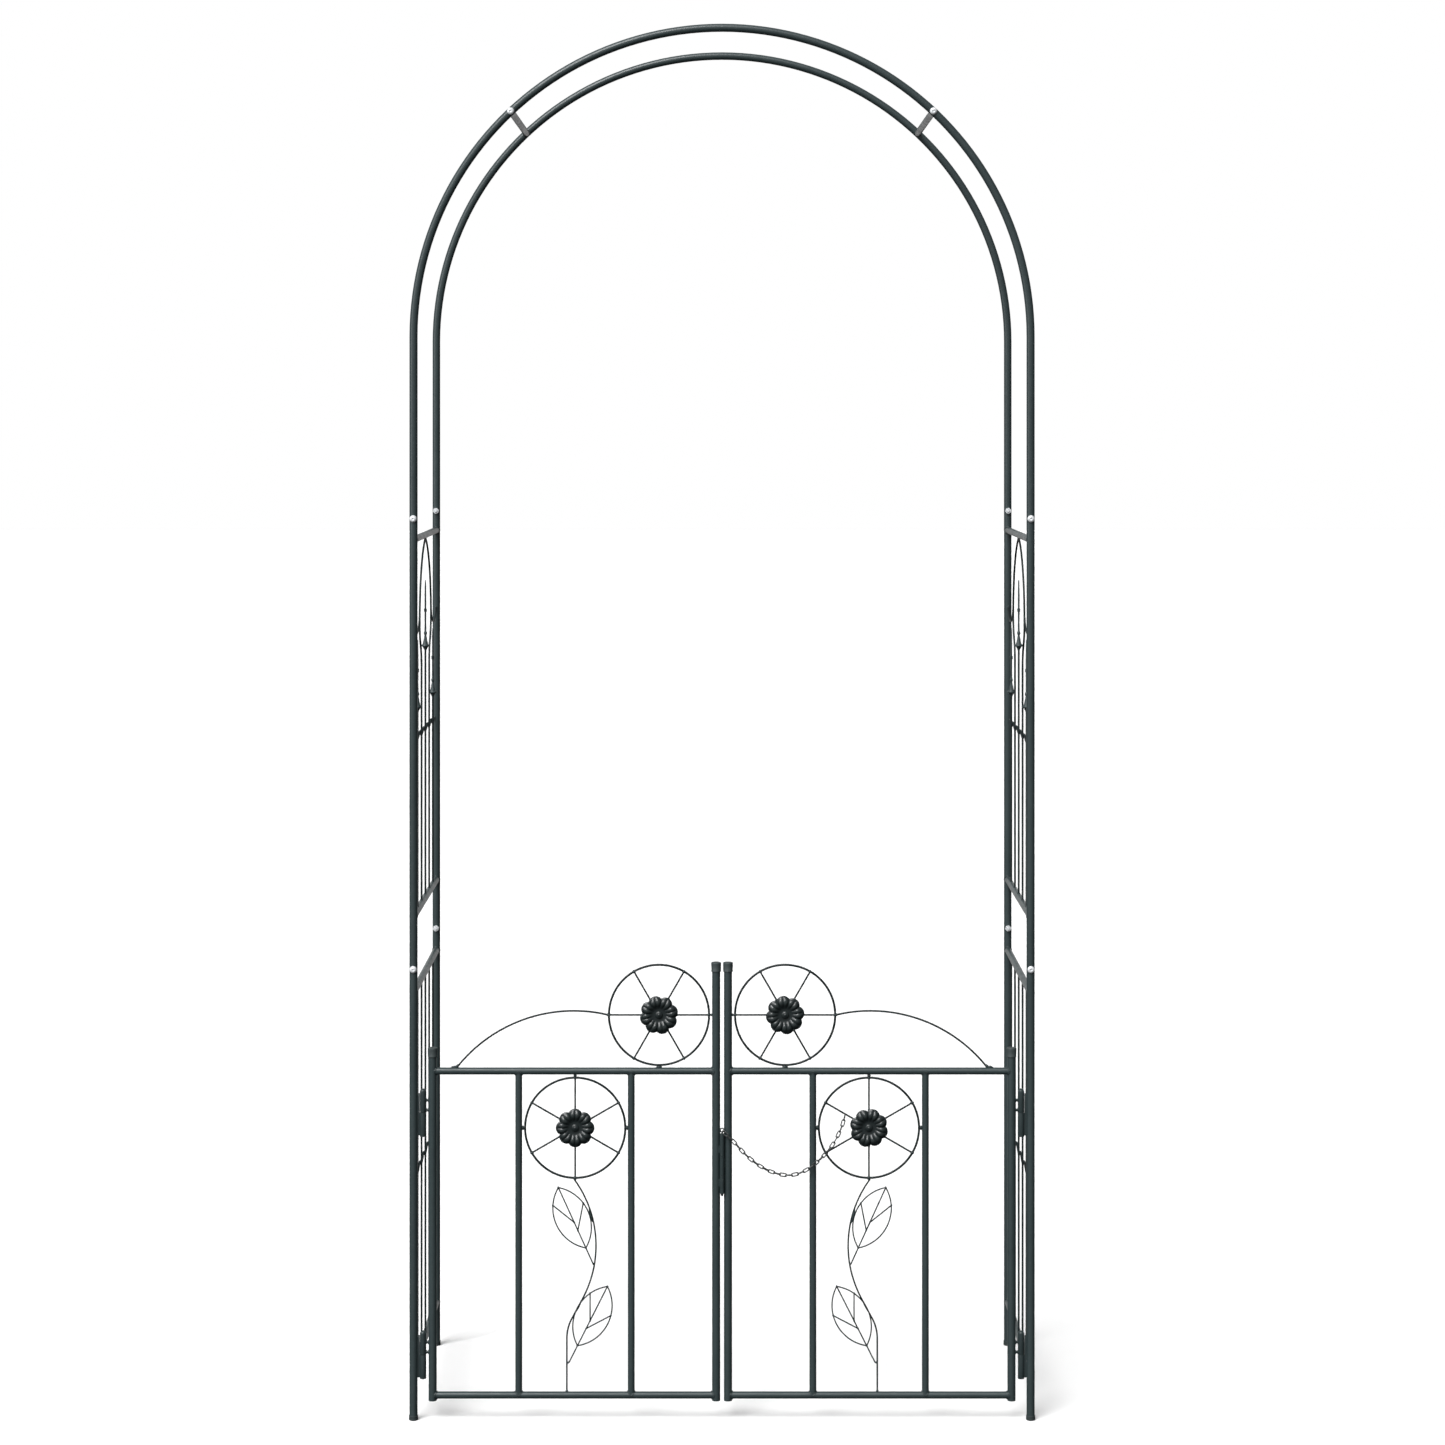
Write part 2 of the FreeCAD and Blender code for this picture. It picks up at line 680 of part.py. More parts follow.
def make_panels():
    finials, ogive_wires, swags = [], [], []
    for name, side in SIDES.items():
        heights = ("lower_panel_bottom", "lower_panel_top", "upper_panel_bottom", "upper_panel_top")
        node(f"{name}_panel_rails", group("rails", [make_panel_rail(side, height) for height in heights]))
        lower_wires = [
            upright_wire(side, number, "lower_panel_bottom + bar_diameter / 2",
                         "lower_panel_top - bar_diameter / 2")
            for number in range(1, WIRE_BAYS)
        ]
        node(f"{name}_lower_wires", group("lower_wires", lower_wires))
        tops = {1: "side_finial", 3: "centre_finial", 5: "side_finial"}
        upper_wires = [upright_wire(side, number, "upper_panel_bottom + bar_diameter / 2", top)
                       for number, top in tops.items()]
        node(f"{name}_upper_wires", group("upper_wires", upper_wires))
        scallops = [make_scallop_wire(side, size("lower_scallop"), size("lower_scallop_sag")),
                    make_scallop_wire(side, size(f"{name}_upper_scallop"), size("upper_scallop_sag"))]
        node(f"{name}_scallop_wires", group("scallop_wires", scallops))
        finials += [make_finial(side, number, top) for number, top in tops.items()]
        rail_space = cylinder("top_rail_space", "bar_diameter / 2", "depth",
                              (signed(side, "span / 2"), "-depth / 2", "upper_panel_top"), ALONG_Y)
        ogive_wires += [make_ogive_wire(side, half, rail_space) for half in ENDS.values()]
        swags += [make_swag(side, half) for half in ENDS.values()]
    node("panel_finials", group("finials", finials))
    node("ogive_wires", group("ogive_wires", ogive_wires))
    node("ogive_swags", group("ogive_swags", swags))


# ---------------------------------------------------------------- gate leaves
def make_wheel(label, side, offset, height, first_spoke, stretch, welds, neighbours):
    """A wire ring on three crossing rods, with short weld tabs out to the tubes around it."""
    across = signed(side, offset)
    parts = [arc_rod("wheel_ring", "wheel_radius", "wheel_wire / 2", 0, "360", (across, FRONT, height))]
    for number in range(SPOKE_PAIRS):
        angle = math.radians(first_spoke + number * 180 / SPOKE_PAIRS)
        reach = stretch if number == 0 else "0"
        low = f"wheel_radius + {reach}" if side > 0 else "wheel_radius"
        start = (f"{across} - {math.cos(angle):.6f} * ({low})", FRONT,
                 f"{height} - {math.sin(angle):.6f} * ({low})")
        turn = Rotation(Vector(0, 1, 0), 90 - math.degrees(angle))
        parts.append(cylinder("spoke", "spoke_diameter / 2", f"2 * wheel_radius + {reach}", start, turn))
    for angle, length in welds:
        direction = math.radians(angle)
        start = (f"{across} + {math.cos(direction):.6f} * wheel_radius", FRONT,
                 f"{height} + {math.sin(direction):.6f} * wheel_radius")
        turn = Rotation(Vector(0, 1, 0), 90 - angle)
        parts.append(cylinder("weld_tab", "weld_diameter / 2", length, start, turn))
    node(label, cut(label, fuse("wheel", *parts), *neighbours))


def make_rosette(side, offset, height):
    """A pressed flower of eight round petals with a raised button, on the front of the spokes."""
    body = doc.addObject("PartDesign::Body", "rosette")
    core = new_sketch(body, "core_outline", "XY_Plane")
    sketch_circle(core, "rosette_core")
    pad(body, "core", core, "rosette_thickness")
    petal_outline = new_sketch(body, "petal_outline", "XY_Plane")
    sketch_circle(petal_outline, "petal_radius", across="petal_offset")
    petal = pad(body, "petal", petal_outline, "rosette_thickness")
    ring = body.newObject("PartDesign::PolarPattern", "petals")
    ring.Originals = [petal]
    ring.Axis = (next(axis for axis in body.Origin.OriginFeatures if axis.Role == "Z_Axis"), [""])
    ring.Angle = 360
    ring.Occurrences = PETALS
    body.Tip = ring
    button_outline = new_sketch(body, "button_outline", "XY_Plane")
    sketch_circle(button_outline, "button_radius")
    body.Tip = pad(body, "button", button_outline, "button_height")
    return place(body, (signed(side, offset), f"{FRONT} - spoke_diameter / 2", height), FACING)


def make_brace_wire(side, rail_space):
    """The long curved wire from the top rail over to the upper wheel."""
    start, sweep = size("brace_start"), size("brace_sweep")
    first = start if side < 0 else 180 - start - sweep
    arc = arc_rod("brace_arc", "brace_radius", "brace_wire / 2", first, "brace_sweep",
                  (signed(side, "brace_centre_offset"), FRONT, "brace_centre_height"))
    return cut("brace", arc, rail_space)


def make_stem(side):
    """The vine's stem: a long bow below the lower wheel, easing into a straight foot."""
    wheel_foot = size("lower_wheel_height") - size("wheel_radius") - size("wheel_wire") / 2
    rail_top = size("bottom_rail") + size("bar_diameter") / 2
    outline = [
        (size("stem_tip_offset"), wheel_foot - size("stem_gap")),
        (size("stem_bow_offset"), size("stem_bow_height")),
        (size("stem_foot_offset"), size("stem_foot_bend")),
        (size("stem_foot_offset"), rail_top),
    ]
    points = [Vector(side * offset, gate_plane, height) for offset, height in outline]
    return bent_wire("stem", points, [size("stem_bow_radius"), size("stem_foot_radius")], "stem_wire")


# Each vein of a leaf: where it leaves the midrib, where it meets the edge, and which edge
VEINS = [(48.0, 90.0, 1), (33.0, 72.0, -1)]


def make_leaf(side, base, lean, stalk):
    """A pointed leaf of wire: two arcs, a midrib that runs on as the stalk, and two veins.

    base is the outline's lower point, as distance from the gate's middle and height; lean is the
    midrib's angle from +X on the left leaf of the gate.
    """
    length, half_width = size("leaf_length"), size("leaf_half_width")
    bend = (length ** 2 / 4 + half_width ** 2) / (2 * half_width)
    half_angle = math.degrees(math.asin(length / 2 / bend))
    angle = lean if side < 0 else 180 - lean
    along = Vector(math.cos(math.radians(angle)), 0, math.sin(math.radians(angle)))
    outward = Vector(-along.z, 0, along.x)
    foot = Vector(side * base[0], gate_plane - size("leaf_drop"), base[1])
    middle = foot + along * (length / 2)
    wire = "leaf_wire / 2"

    def rod(start, finish):
        rise = finish - start
        return cylinder("leaf_rod", wire, f"{rise.Length:.4f}", tuple(start), Rotation(Vector(0, 0, 1), rise))

    parts = []
    for hand in (-1, 1):
        centre = middle - outward * (hand * (bend - half_width))
        start = angle + 90 * hand - half_angle
        parts.append(arc_rod("leaf_edge", f"{bend:.4f}", wire, start, f"{2 * half_angle:.4f}", tuple(centre)))
        tip = foot + along * (length if hand > 0 else 0)
        parts.append(sphere("leaf_weld", "leaf_weld_radius", tuple(tip)))
    parts.append(rod(foot - along * stalk, foot + along * length))
    for rib_height, edge_height, hand in VEINS:
        reach = math.sqrt(bend ** 2 - (edge_height - length / 2) ** 2) - (bend - half_width)
        edge = foot + along * edge_height + outward * (reach * hand * -side)
        parts.append(rod(foot + along * rib_height, edge))
    return fuse("leaf", *parts)


def make_leaf_of_gate(name, side):
    """One leaf of the gate, hung on the front post of its side."""
    hinge_space = full_rod("hinge_stile_space", TUBE, signed(side, "hinge_stile"), FRONT)
    meeting_space = full_rod("meeting_stile_space", TUBE, signed(side, "meeting_stile"), FRONT)
    outer_space = full_rod("outer_space", "baluster_diameter / 2", signed(side, "outer_baluster"), FRONT)
    inner_space = full_rod("inner_space", "baluster_diameter / 2", signed(side, "inner_baluster"), FRONT)
    width = "(hinge_stile - meeting_stile)"
    rail_start = signed(side, "hinge_stile") if side < 0 else "meeting_stile"
    rail_spaces = {}
    for part, height in (("bottom_rail", "bottom_rail"), ("top_rail", "top_rail")):
        at = (rail_start, FRONT, height)
        rail_spaces[part] = cylinder("rail_space", "bar_diameter / 2", width, at, ALONG_X)
        bore = cylinder("rail_bore", "bar_diameter / 2 - bar_wall", width, at, ALONG_X)
        node(f"{name}_{part}", cut(part, rail_spaces[part], bore, hinge_space, meeting_space))

    caps = []
    for part, top in (("hinge_stile", "hinge_stile_top"), ("meeting_stile", "meeting_stile_top")):
        foot = (signed(side, part), FRONT, "stile_foot")
        length = f"{top} - stile_cap_floor - stile_foot"
        stile = cylinder("stile", TUBE, length, foot)
        bore = cylinder("stile_bore", TUBE_BORE, length, foot)
        node(f"{name}_{part}", cut(part, stile, bore))
        cap_foot = (signed(side, part), FRONT, f"{top} - stile_cap_height")
        cap = cylinder("cap", "stile_cap_diameter / 2", "stile_cap_height", cap_foot)
        socket = cylinder("cap_socket", f"{TUBE} + cap_gap", "stile_cap_height - stile_cap_floor", cap_foot)
        caps.append(cut("stile_cap", cap, socket))
    node(f"{name}_stile_caps", group("stile_caps", caps))

    balusters = []
    for part in ("outer_baluster", "inner_baluster"):
        foot = (signed(side, part), FRONT, "bottom_rail")
        rod = cylinder("baluster_rod", "baluster_diameter / 2", "top_rail - bottom_rail", foot)
        bore = cylinder("baluster_bore", "baluster_diameter / 2 - bar_wall", "top_rail - bottom_rail", foot)
        balusters.append(cut("baluster", rod, bore, *rail_spaces.values()))
    node(f"{name}_balusters", group("balusters", balusters))

    upper_welds = [(270, "upper_tab")]
    make_wheel(f"{name}_upper_wheel", side, "upper_wheel_offset", "upper_wheel_height", 0,
               "(upper_wheel_offset - meeting_stile - wheel_radius)", upper_welds,
               [rail_spaces["top_rail"], meeting_space])
    lower_welds = [(angle, "lower_tab") for angle in (0, 90, 180)]
    make_wheel(f"{name}_lower_wheel", side, "lower_wheel_offset", "lower_wheel_height", 30, "0",
               lower_welds, [rail_spaces["top_rail"], outer_space, inner_space])
    rosettes = [make_rosette(side, "upper_wheel_offset", "upper_wheel_height"),
                make_rosette(side, "lower_wheel_offset", "lower_wheel_height")]
    node(f"{name}_rosettes", group("rosettes", rosettes))
    node(f"{name}_brace_wire", make_brace_wire(side, rail_spaces["top_rail"]))
    upper_leaf = make_leaf(side, base=(234.0, 296.2), lean=114.5, stalk=31.2)
    lower_leaf = make_leaf(side, base=(248.4, 128.3), lean=63.2, stalk=33.0)
    node(f"{name}_vine", group("vine", [make_stem(side), upper_leaf, lower_leaf]))
    return hinge_space, meeting_space


# ---------------------------------------------------------------- gate hinges
def make_hinge_hook(side, foot):
    """Lower knuckle and pin, on a plate welded to the post; the leaf's knuckle drops onto it."""
    axis = signed(side, "hinge_axis")
    split = f"{foot} + knuckle_split"
    at = (axis, FRONT, foot)
    knuckle = cylinder("hook_knuckle", "knuckle_diameter / 2", "knuckle_split - hinge_gap", at)
    pin = cylinder("hook_pin", "hinge_pin_diameter / 2", "knuckle_split + hinge_pin_rise", at)
    plate_start = axis if side > 0 else "-span / 2"
    blank = box("hook_blank", ("span / 2 - hinge_axis", "hinge_plate", "hinge_plate_height"),
                (plate_start, f"{FRONT} - hinge_plate / 2", f"{foot} + hinge_plate_foot"))
    clear = cylinder("hook_clearance", "knuckle_diameter / 2 + hinge_plate_gap", "hinge_height",
                     (axis, FRONT, f"{split} - hinge_gap"))
    plate = cut("hook_plate", blank, post_spaces[side, -1], clear)
    return fuse("hinge_hook", knuckle, pin, plate)


def make_hinge_knuckle(side, foot, stile_space):
    """Upper knuckle: a round-topped barrel on the leaf's stile, bored from below for the pin."""
    axis = signed(side, "hinge_axis")
    split = f"{foot} + knuckle_split"
    top = f"{foot} + hinge_height - knuckle_diameter / 2"
    barrel = cylinder("barrel", "knuckle_diameter / 2", f"{top} - ({split} + hinge_gap)",
                      (axis, FRONT, f"{split} + hinge_gap"))
    dome = sphere("barrel_dome", "knuckle_diameter / 2", (axis, FRONT, top))
    start = axis if side < 0 else "hinge_stile"
    links = [
        cylinder("knuckle_link", "hinge_link_diameter / 2", "hinge_axis - hinge_stile",
                 (start, FRONT, f"{foot} + hinge_height - {drop}"), ALONG_X)
        for drop in ("upper_link_drop", "lower_link_drop")
    ]
    bore = cylinder("knuckle_bore", "hinge_pin_diameter / 2 + hinge_running_gap",
                    "hinge_bore_depth", (axis, FRONT, split))
    return cut("hinge_knuckle", fuse("knuckle", barrel, dome, *links), stile_space, bore)


# ---------------------------------------------------------------- latch
def make_latch_knuckle(side, foot, top, stile_space, lug_foot):
    """A short tube for the latch pin, on a lug welded to the meeting stile."""
    at = (0, LATCH_PLANE, foot)
    tube = cylinder("latch_tube", "latch_knuckle_diameter / 2", f"{top} - ({foot})", at)
    bore = cylinder("latch_bore", "latch_bore / 2", f"{top} - ({foot})", at)
    reach = math.hypot(size("meeting_stile"), size("latch_setback"))
    turn = math.degrees(math.atan2(size("latch_setback"), side * size("meeting_stile")))
    half = size("latch_lug") / 2
    lean = math.radians(turn)
    lug = box("latch_lug", (f"{reach:.4f}", "latch_lug", "latch_lug_height"),
              (f"{half * math.sin(lean):.4f}", f"{LATCH_PLANE} - {half * math.cos(lean):.4f}", lug_foot),
              Rotation(Vector(0, 0, 1), turn))
    return cut("latch_knuckle", fuse("latch_blank", tube, lug), bore, stile_space)


def make_latch_pin():
    """The drop pin: a plain rod with a small flange and, above it, an eye for the chain."""
    stem = cylinder("pin_stem", "latch_pin_diameter / 2", "eye_height - eye_radius - latch_pin_foot",
                    (0, LATCH_PLANE, "latch_pin_foot"))
    flange = cylinder("pin_flange", "latch_flange_diameter / 2", "latch_flange_height",
                      (0, LATCH_PLANE, "latch_head + latch_gap"))
    eye = arc_rod("pin_eye", "eye_radius", "eye_wire / 2", 0, "360", (0, LATCH_PLANE, "eye_height"))
    return fuse("latch_pin", stem, flange, eye)


# The chain hangs from the pin's eye, passes in front of the inner baluster, and ends at a spoke of
# the right leaf's lower wheel.  Each point is (across, how far in front of the gate, height).
CHAIN_ROUTE = [
    (8.0, 12.2, 492.5), (22.0, 13.0, 479.0), (38.0, 13.0, 460.5), (56.0, 13.0, 445.0),
    (75.0, 13.0, 433.0), (95.0, 13.0, 425.5), (115.0, 13.0, 422.5), (135.0, 13.0, 424.0),
    (153.0, 12.8, 431.0), (169.0, 12.0, 442.5), (183.5, 10.5, 458.0), (195.0, 8.5, 476.0),
    (203.5, 6.5, 496.0), (208.7, 5.0, 513.0),
]


def make_chain():
    """The space that the chain's links take, as one round run along its route."""
    points = [Vector(across, gate_plane - front, height) for across, front, height in CHAIN_ROUTE]
    radii = []
    for before, corner, after in zip(points, points[1:], points[2:]):
        shorter = min((corner - before).Length, (after - corner).Length)
        half_turn = (corner - before).getAngle(after - corner) / 2
        radii.append(CHAIN_ARC_SHARE * shorter / math.tan(half_turn))
    print("chain bend radii:", " ".join(f"{radius:.0f}" for radius in radii))
    chain = bent_wire("latch_chain_run", points, radii, "chain_width")
    doc.recompute()
    length = rounded_path(points, radii).Length
    expected = length * math.pi * size("chain_width") ** 2 / 4
    print(f"chain length {length:.1f}, volume {chain.Shape.Volume / expected:.4f} of section times length")
    return chain


def make_gate():
    hooks, meeting_spaces = [], {}
    for name, side in SIDES.items():
        hinge_space, meeting_spaces[side] = make_leaf_of_gate(name, side)
        knuckles = [make_hinge_knuckle(side, foot, hinge_space) for foot in ("upper_hinge", "lower_hinge")]
        node(f"{name}_hinge_knuckles", group("hinge_knuckles", knuckles))
        hooks += [make_hinge_hook(side, foot) for foot in ("upper_hinge", "lower_hinge")]
    node("hinge_hooks", group("hinge_hooks", hooks))
    left_knuckles = [
        make_latch_knuckle(-1, "latch_foot", "latch_lower_split - latch_gap", meeting_spaces[-1],
                           "left_lower_lug"),
        make_latch_knuckle(-1, "latch_upper_split + latch_gap", "latch_head", meeting_spaces[-1],
                           "left_upper_lug"),
    ]
    node("left_latch_knuckles", group("left_latch_knuckles", left_knuckles))
    right_knuckle = make_latch_knuckle(1, "latch_lower_split + latch_gap",
                                       "latch_upper_split - latch_gap", meeting_spaces[1],
                                       "right_lug")
    node("right_latch_knuckle", right_knuckle)
    node("latch_pin", make_latch_pin())
    node("latch_chain", make_chain())


def check_and_write():
    doc.recompute()
    for obj in doc.Objects:
        bad = {"Invalid", "Error"} & set(obj.State)
        if bad:
            raise RuntimeError(f"{obj.Name} ({obj.Label}) is {bad}")
    os.makedirs("parts", exist_ok=True)
    for obj in nodes:
        shape = obj.Shape
        if shape.isNull() or not shape.isValid() or not shape.Solids:
            raise RuntimeError(f"{obj.Label} has no valid solid")
        shape.exportStep(f"parts/{obj.Label}.step")
        print(f"{obj.Label:28s} solids {len(shape.Solids):3d}  volume {shape.Volume / 1000:9.2f} cm3")
    print(len(nodes), "nodes")


make_arch()
make_panels()
make_gate()
check_and_write()
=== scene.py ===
"""Looks of the garden trellis arch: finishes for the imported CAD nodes, and detailed pieces where the
CAD solid is plain.  Lengths are in metres in the CAD model's frame, or in millimetres times MM.
"""

import json
import math

import bmesh
import bpy
from mathutils import Matrix, Vector, noise


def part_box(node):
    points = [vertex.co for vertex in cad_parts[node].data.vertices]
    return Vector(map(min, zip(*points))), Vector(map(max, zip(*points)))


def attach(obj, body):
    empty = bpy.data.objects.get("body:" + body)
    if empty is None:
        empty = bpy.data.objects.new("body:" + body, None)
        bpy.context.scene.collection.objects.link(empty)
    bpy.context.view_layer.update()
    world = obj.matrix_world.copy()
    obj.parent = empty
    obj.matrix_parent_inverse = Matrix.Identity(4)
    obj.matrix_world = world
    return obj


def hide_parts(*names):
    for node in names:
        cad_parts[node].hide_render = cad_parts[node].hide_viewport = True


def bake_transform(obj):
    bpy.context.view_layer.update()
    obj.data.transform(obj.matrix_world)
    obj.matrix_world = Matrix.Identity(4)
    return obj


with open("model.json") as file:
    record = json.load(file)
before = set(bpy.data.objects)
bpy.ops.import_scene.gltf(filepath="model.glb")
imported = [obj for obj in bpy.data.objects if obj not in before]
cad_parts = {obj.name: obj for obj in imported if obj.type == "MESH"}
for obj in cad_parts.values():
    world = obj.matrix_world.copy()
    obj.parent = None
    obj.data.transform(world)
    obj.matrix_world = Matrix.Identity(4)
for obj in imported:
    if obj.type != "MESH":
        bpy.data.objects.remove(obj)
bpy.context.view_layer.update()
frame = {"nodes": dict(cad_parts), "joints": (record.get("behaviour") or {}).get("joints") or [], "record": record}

MM = 0.001
UP = Vector((0, 0, 1))
RIGHT = Vector((1, 0, 0))
BACK = Vector((0, 1, 0))
FRONT = -BACK
NODES = frame["nodes"]
SIDES = {"left": -1, "right": 1}

# Radii that the CAD model gives its tubes and wires
POST = 7.0 * MM
BAR = 6.0 * MM
BALUSTER = 5.9 * MM
PANEL_WIRE = 1.8 * MM
SCALLOP_WIRE = 1.5 * MM
RING_WIRE = 1.9 * MM


# ---------------- camera
EYE = (0, -5.668, 1.736)
LENS = 78.98                   # millimetres, on a 36 mm sensor
SHIFT = (0.0003, -0.2163)      # shares of the picture's width


def add_object(name, data):
    made = bpy.data.objects.new(name, data)
    bpy.context.scene.collection.objects.link(made)
    return made


def make_camera():
    """Level, at eye height, straight in front of the gate, with the picture shifted down."""
    data = bpy.data.cameras.new("camera")
    data.sensor_width = 36
    data.lens = LENS
    data.shift_x, data.shift_y = SHIFT
    data.clip_end = 100
    camera = add_object("camera", data)
    camera.location = EYE
    camera.rotation_euler = (math.radians(90), 0, 0)
    bpy.context.scene.camera = camera


# ---------------- reading the CAD nodes
def solids(node):
    """(lowest corner, highest corner) of each separate solid of a CAD node, from left to right."""
    mesh = NODES[node].data
    parent = {}
    keys = [tuple(round(x * 1e6) for x in vertex.co) for vertex in mesh.vertices]

    def root(key):
        while parent.setdefault(key, key) != key:
            parent[key] = parent[parent[key]]
            key = parent[key]
        return key

    for edge in mesh.edges:
        first, second = (root(keys[index]) for index in edge.vertices)
        parent[first] = second
    groups = {}
    for key, vertex in zip(keys, mesh.vertices):
        groups.setdefault(root(key), []).append(vertex.co)
    boxes = []
    for points in groups.values():
        low = Vector([min(point[axis] for point in points) for axis in range(3)])
        high = Vector([max(point[axis] for point in points) for axis in range(3)])
        boxes.append((low, high))
    return sorted(boxes, key=lambda pair: tuple(round(x, 4) for x in (*pair[0], *pair[1])))


def middle(box):
    return (box[0] + box[1]) / 2


def centred(low, high, height):
    """The point at that height on a box's upright middle line."""
    return Vector(((low.x + high.x) / 2, (low.y + high.y) / 2, height))


def by_height(boxes):
    return sorted(boxes, key=lambda box: box[0].z)


def on_side(node, sign):
    """The solids of a node that are on the left (-1) or on the right (1)."""
    return [box for box in solids(node) if middle(box).x * sign > 0]


# ---------------- mesh helpers
class Mesh:
    """Vertices and faces gathered for one piece."""

    def __init__(self):
        self.points = []
        self.faces = []

    def grid(self, rows, capped=True):
        """Skins rings of points, one ring to the next, and closes both ends when capped."""
        start, width = len(self.points), len(rows[0])
        for row in rows:
            self.points.extend(row)
        for number in range(len(rows) - 1):
            near, far = start + number * width, start + (number + 1) * width
            for i in range(width):
                j = (i + 1) % width
                self.faces.append((near + i, near + j, far + j, far + i))
        if capped:
            last = start + (len(rows) - 1) * width
            self.faces.append(tuple(range(start, start + width)))
            self.faces.append(tuple(range(last, last + width)))

    def make(self, name, body, slot, stands_for=(), sharp=40):
        """The finished object, which takes the finish of its slot and rides on its body, if given."""
        data = bpy.data.meshes.new(name)
        data.from_pydata([tuple(point) for point in self.points], [], self.faces)
        work = bmesh.new()
        work.from_mesh(data)
        bmesh.ops.remove_doubles(work, verts=work.verts, dist=1e-6)
        bmesh.ops.recalc_face_normals(work, faces=work.faces)
        work.to_mesh(data)
        work.free()
        data.shade_smooth()
        data.set_sharp_from_angle(angle=math.radians(sharp))
        data.materials.append(FINISHES[slot])
        piece = add_object(name, data)
        if body:
            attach(piece, body)
        if stands_for:
            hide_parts(*stands_for)
        return piece


def axes_about(axis):
    """Two directions that make a right-handed set with the axis."""
    side = axis.orthogonal().normalized()
    return side, axis.cross(side)


def ring_points(centre, side, other, radius, count):
    """A ring of points; radius is a number or a function of the angle."""
    points = []
    for number in range(count):
        angle = 2 * math.pi * number / count
        reach = radius(angle) if callable(radius) else radius
        points.append(centre + (side * math.cos(angle) + other * math.sin(angle)) * reach)
    return points


def turned(profile, origin, axis, count):
    """The rings of a profile of (radius, height) about an axis."""
    side, other = axes_about(axis)
    return [ring_points(origin + axis * height, side, other, radius, count) for radius, height in profile]


def lathe(mesh, profile, origin, axis, count):
    """Turns a profile into a solid."""
    mesh.grid(turned(profile, origin, axis, count))


def lathe_hollow(mesh, profile, origin, axis, count):
    """Turns a profile that closes on itself, so that a hole goes right through."""
    mesh.grid(turned(profile + profile[:1], origin, axis, count), capped=False)


def scaled(profile):
    """A profile in millimetres, in metres."""
    return [(radius * MM, height * MM) for radius, height in profile]


def dome(end, outward, side, other, radius, sides, shares):
    """Rings beyond a wire's end that round it off."""
    return [ring_points(end + outward * radius * 0.5 * (1 - share), side, other,
                        radius * math.sqrt(share), sides) for share in shares]


def sweep(mesh, path, radius, sides, closed=False, up=None):
    """A round wire along a path of points; radius is a number, or one number for each point."""
    count = len(path)
    radii = radius if isinstance(radius, list) else [radius] * count
    side = up
    rows = []
    for number, point in enumerate(path):
        before = path[number - 1] if closed or number else point
        after = path[(number + 1) % count] if closed or number + 1 < count else point
        tangent = (after - before).normalized()
        side = tangent.orthogonal() if side is None else side
        side = (side - tangent * side.dot(tangent)).normalized()
        other = tangent.cross(side)
        if number == 0 and not closed:
            rows += dome(point, -tangent, side, other, radii[0], sides, (0.35, 0.75))
        rows.append(ring_points(point, side, other, radii[number], sides))
        if number == count - 1 and not closed:
            rows += dome(point, tangent, side, other, radii[-1], sides, (0.75, 0.35))
    if closed:
        rows.append(rows[0])
    mesh.grid(rows, capped=not closed)


def weld_bead(mesh, path, size, closed=False, up=None):
    """A weld bead along a path: the even ripple of its passes, and some unevenness."""
    radii = [size * (1 + 0.14 * math.sin(number * 2.1) + 0.2 * noise.noise(point * 700))
             for number, point in enumerate(path)]
    sweep(mesh, path, radii, 8, closed, up)


def weld_ring(mesh, axis_point, outward, across, rod, tube, size):
    """The bead where a rod's end meets the side of a tube.

    axis_point is where the two axes cross, outward points up the rod and across is square to both
    the rod and the tube.
    """
    along_tube = outward.cross(across)
    count = max(16, int(2 * math.pi * rod / (0.9 * MM)))
    path = []
    for number in range(count):
        angle = 2 * math.pi * number / count
        sideways = (rod + size * 0.2) * math.cos(angle)
        height = math.sqrt(max(tube ** 2 - sideways ** 2, 0)) + size * 0.25
        path.append(axis_point + outward * height + across * sideways
                    + along_tube * (rod + size * 0.2) * math.sin(angle))
    weld_bead(mesh, path, size, closed=True, up=outward)


def weld_blob(mesh, centre, size, axis=UP, stretch=1.0):
    """A small uneven weld where two wires touch; stretch is its length along the axis."""
    side, other = axes_about(axis)
    rows = []
    for height in (-0.97, -0.75, -0.35, 0.1, 0.5, 0.8, 0.98):
        girth = math.sqrt(1 - height ** 2) * size
        level = centre + axis * (height * size * stretch)
        row = ring_points(level, side, other, girth, 10)
        rows.append([centre + (point - centre) * (1 + 0.22 * noise.noise(point * 520)) for point in row])
    mesh.grid(rows)


